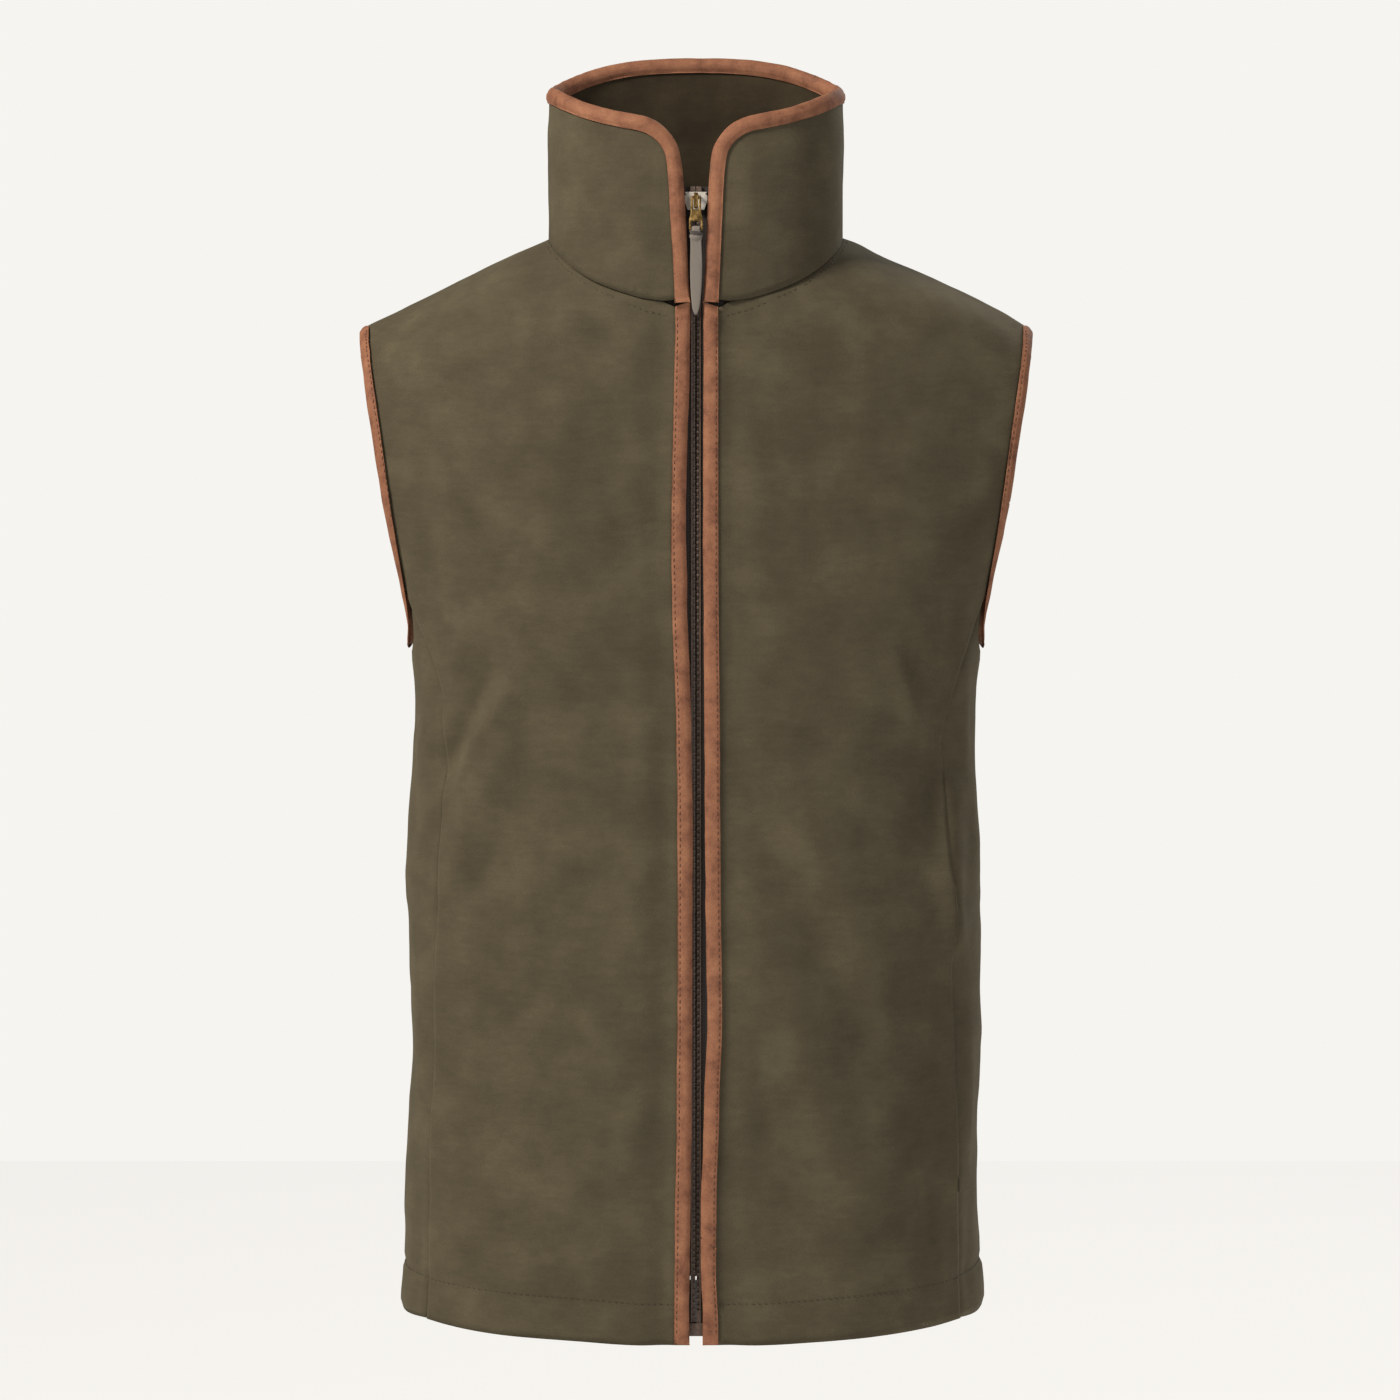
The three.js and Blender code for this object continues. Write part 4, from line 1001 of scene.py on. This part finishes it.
def ribbonKnot():                          # the tied end, tight and a little frayed
    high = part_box("pull_ribbon")[1]
    centre = Vector((0, 0, high.z - knotLook["below"] * mm))
    bm = mergedCopy("pull_ribbon")
    near = [v.co.y for v in bm.verts if abs(v.co.z - centre.z) < 3 * mm]
    centre.y = (min(near) + max(near)) / 2
    bm.free()
    bm = bmesh.new()
    bmesh.ops.create_icosphere(bm, subdivisions=4, radius=1)
    for vert in bm.verts:
        p = vert.co.copy()
        wrap = math.sin(p.z * 5 + p.x * 2.4 + 0.6) * knotLook["ridge"] * 0.18
        fuzz = noise.noise(p * 4.5) * knotLook["fuzz"] * 0.5
        scale = 1 + wrap + fuzz
        vert.co = centre + Vector([p[i] * knotLook["size"][i] * scale * mm for i in range(3)])
    obj = newObject("ribbon_knot", bm)
    # painted darker than the tail: painted shade in the knot
    return finishPiece(obj, knotClothPaintedShade, "ribbon", "pull_ribbon")


pullRibbon()
ribbonKnot()
print("ribbon made")

# Stage, light and camera
camera = {"distance": 3.1, "elevation": math.radians(4.5), "target": Vector((0.0025, 0.0, -0.321)),
          "seen": 0.902}


def placeCamera():
    data = bpy.data.cameras.new("view")
    obj = bpy.data.objects.new("view", data)
    bpy.context.scene.collection.objects.link(obj)
    away = Vector((0, -math.cos(camera["elevation"]), math.sin(camera["elevation"])))
    obj.location = camera["target"] + away * camera["distance"]
    obj.rotation_euler = (-away).to_track_quat("-Z", "Y").to_euler()
    data.sensor_width = 36
    data.lens = 36 * camera["distance"] / camera["seen"]
    bpy.context.scene.camera = obj


def addLight(name, place, size, power, colour="#ffffff"):
    data = bpy.data.lights.new(name, "AREA")
    data.size = size
    data.energy = power
    data.color = linear(colour)[:3]
    obj = bpy.data.objects.new(name, data)
    obj.location = place
    obj.rotation_euler = (camera["target"] - Vector(place)).to_track_quat("-Z", "Y").to_euler()
    bpy.context.scene.collection.objects.link(obj)


def makeStage():
    bm = bmesh.new()
    bmesh.ops.create_grid(bm, x_segments=1, y_segments=1, size=2.2)
    bmesh.ops.translate(bm, verts=bm.verts, vec=(0, 0, cadBox[0].z - 0.3))
    floor = newObject("floor", bm, False)
    material, tree, shader, place = newMaterial("pale_paper", 0.9)   # matt card, evenly lit
    grain = noiseAt(tree, place, [3.0] * 3, 2.0)
    tree.links.new(ramp(tree, grain, [(0.3, linear("#5c5a57")), (0.7, linear("#605e5b"))]),
                   shader.inputs["Base Color"])
    shader.inputs["Emission Color"].default_value = linear("#f6f4f0")
    shader.inputs["Emission Strength"].default_value = 0.86
    paint(floor, material)
    world = bpy.data.worlds.new("studio")
    bpy.context.scene.world = world
    world.use_nodes = True
    tree = world.node_tree
    seen = tree.nodes["Background"]        # the pale wall that is seen, and the softer light that it gives
    seen.inputs["Color"].default_value = linear("#f6f4f0")
    seen.inputs["Strength"].default_value = 1.0
    given = addNode(tree, "ShaderNodeBackground", inputs={"Color": linear("#f6f4f0"), "Strength": 0.22})
    choose = addNode(tree, "ShaderNodeMixShader")
    tree.links.new(addNode(tree, "ShaderNodeLightPath").outputs["Is Camera Ray"], choose.inputs[0])
    tree.links.new(given.outputs[0], choose.inputs[1])
    tree.links.new(seen.outputs[0], choose.inputs[2])
    tree.links.new(choose.outputs[0], tree.nodes["World Output"].inputs["Surface"])


placeCamera()
addLight("key", (-1.95, -1.45, 1.75), 0.8, 122, "#fffaf4")
addLight("fill", (1.7, -2.5, 0.3), 1.8, 24, "#f4f6ff")
addLight("rim", (1.4, 1.9, 1.2), 1.4, 30)
makeStage()
bpy.context.scene.view_settings.view_transform = "Standard"
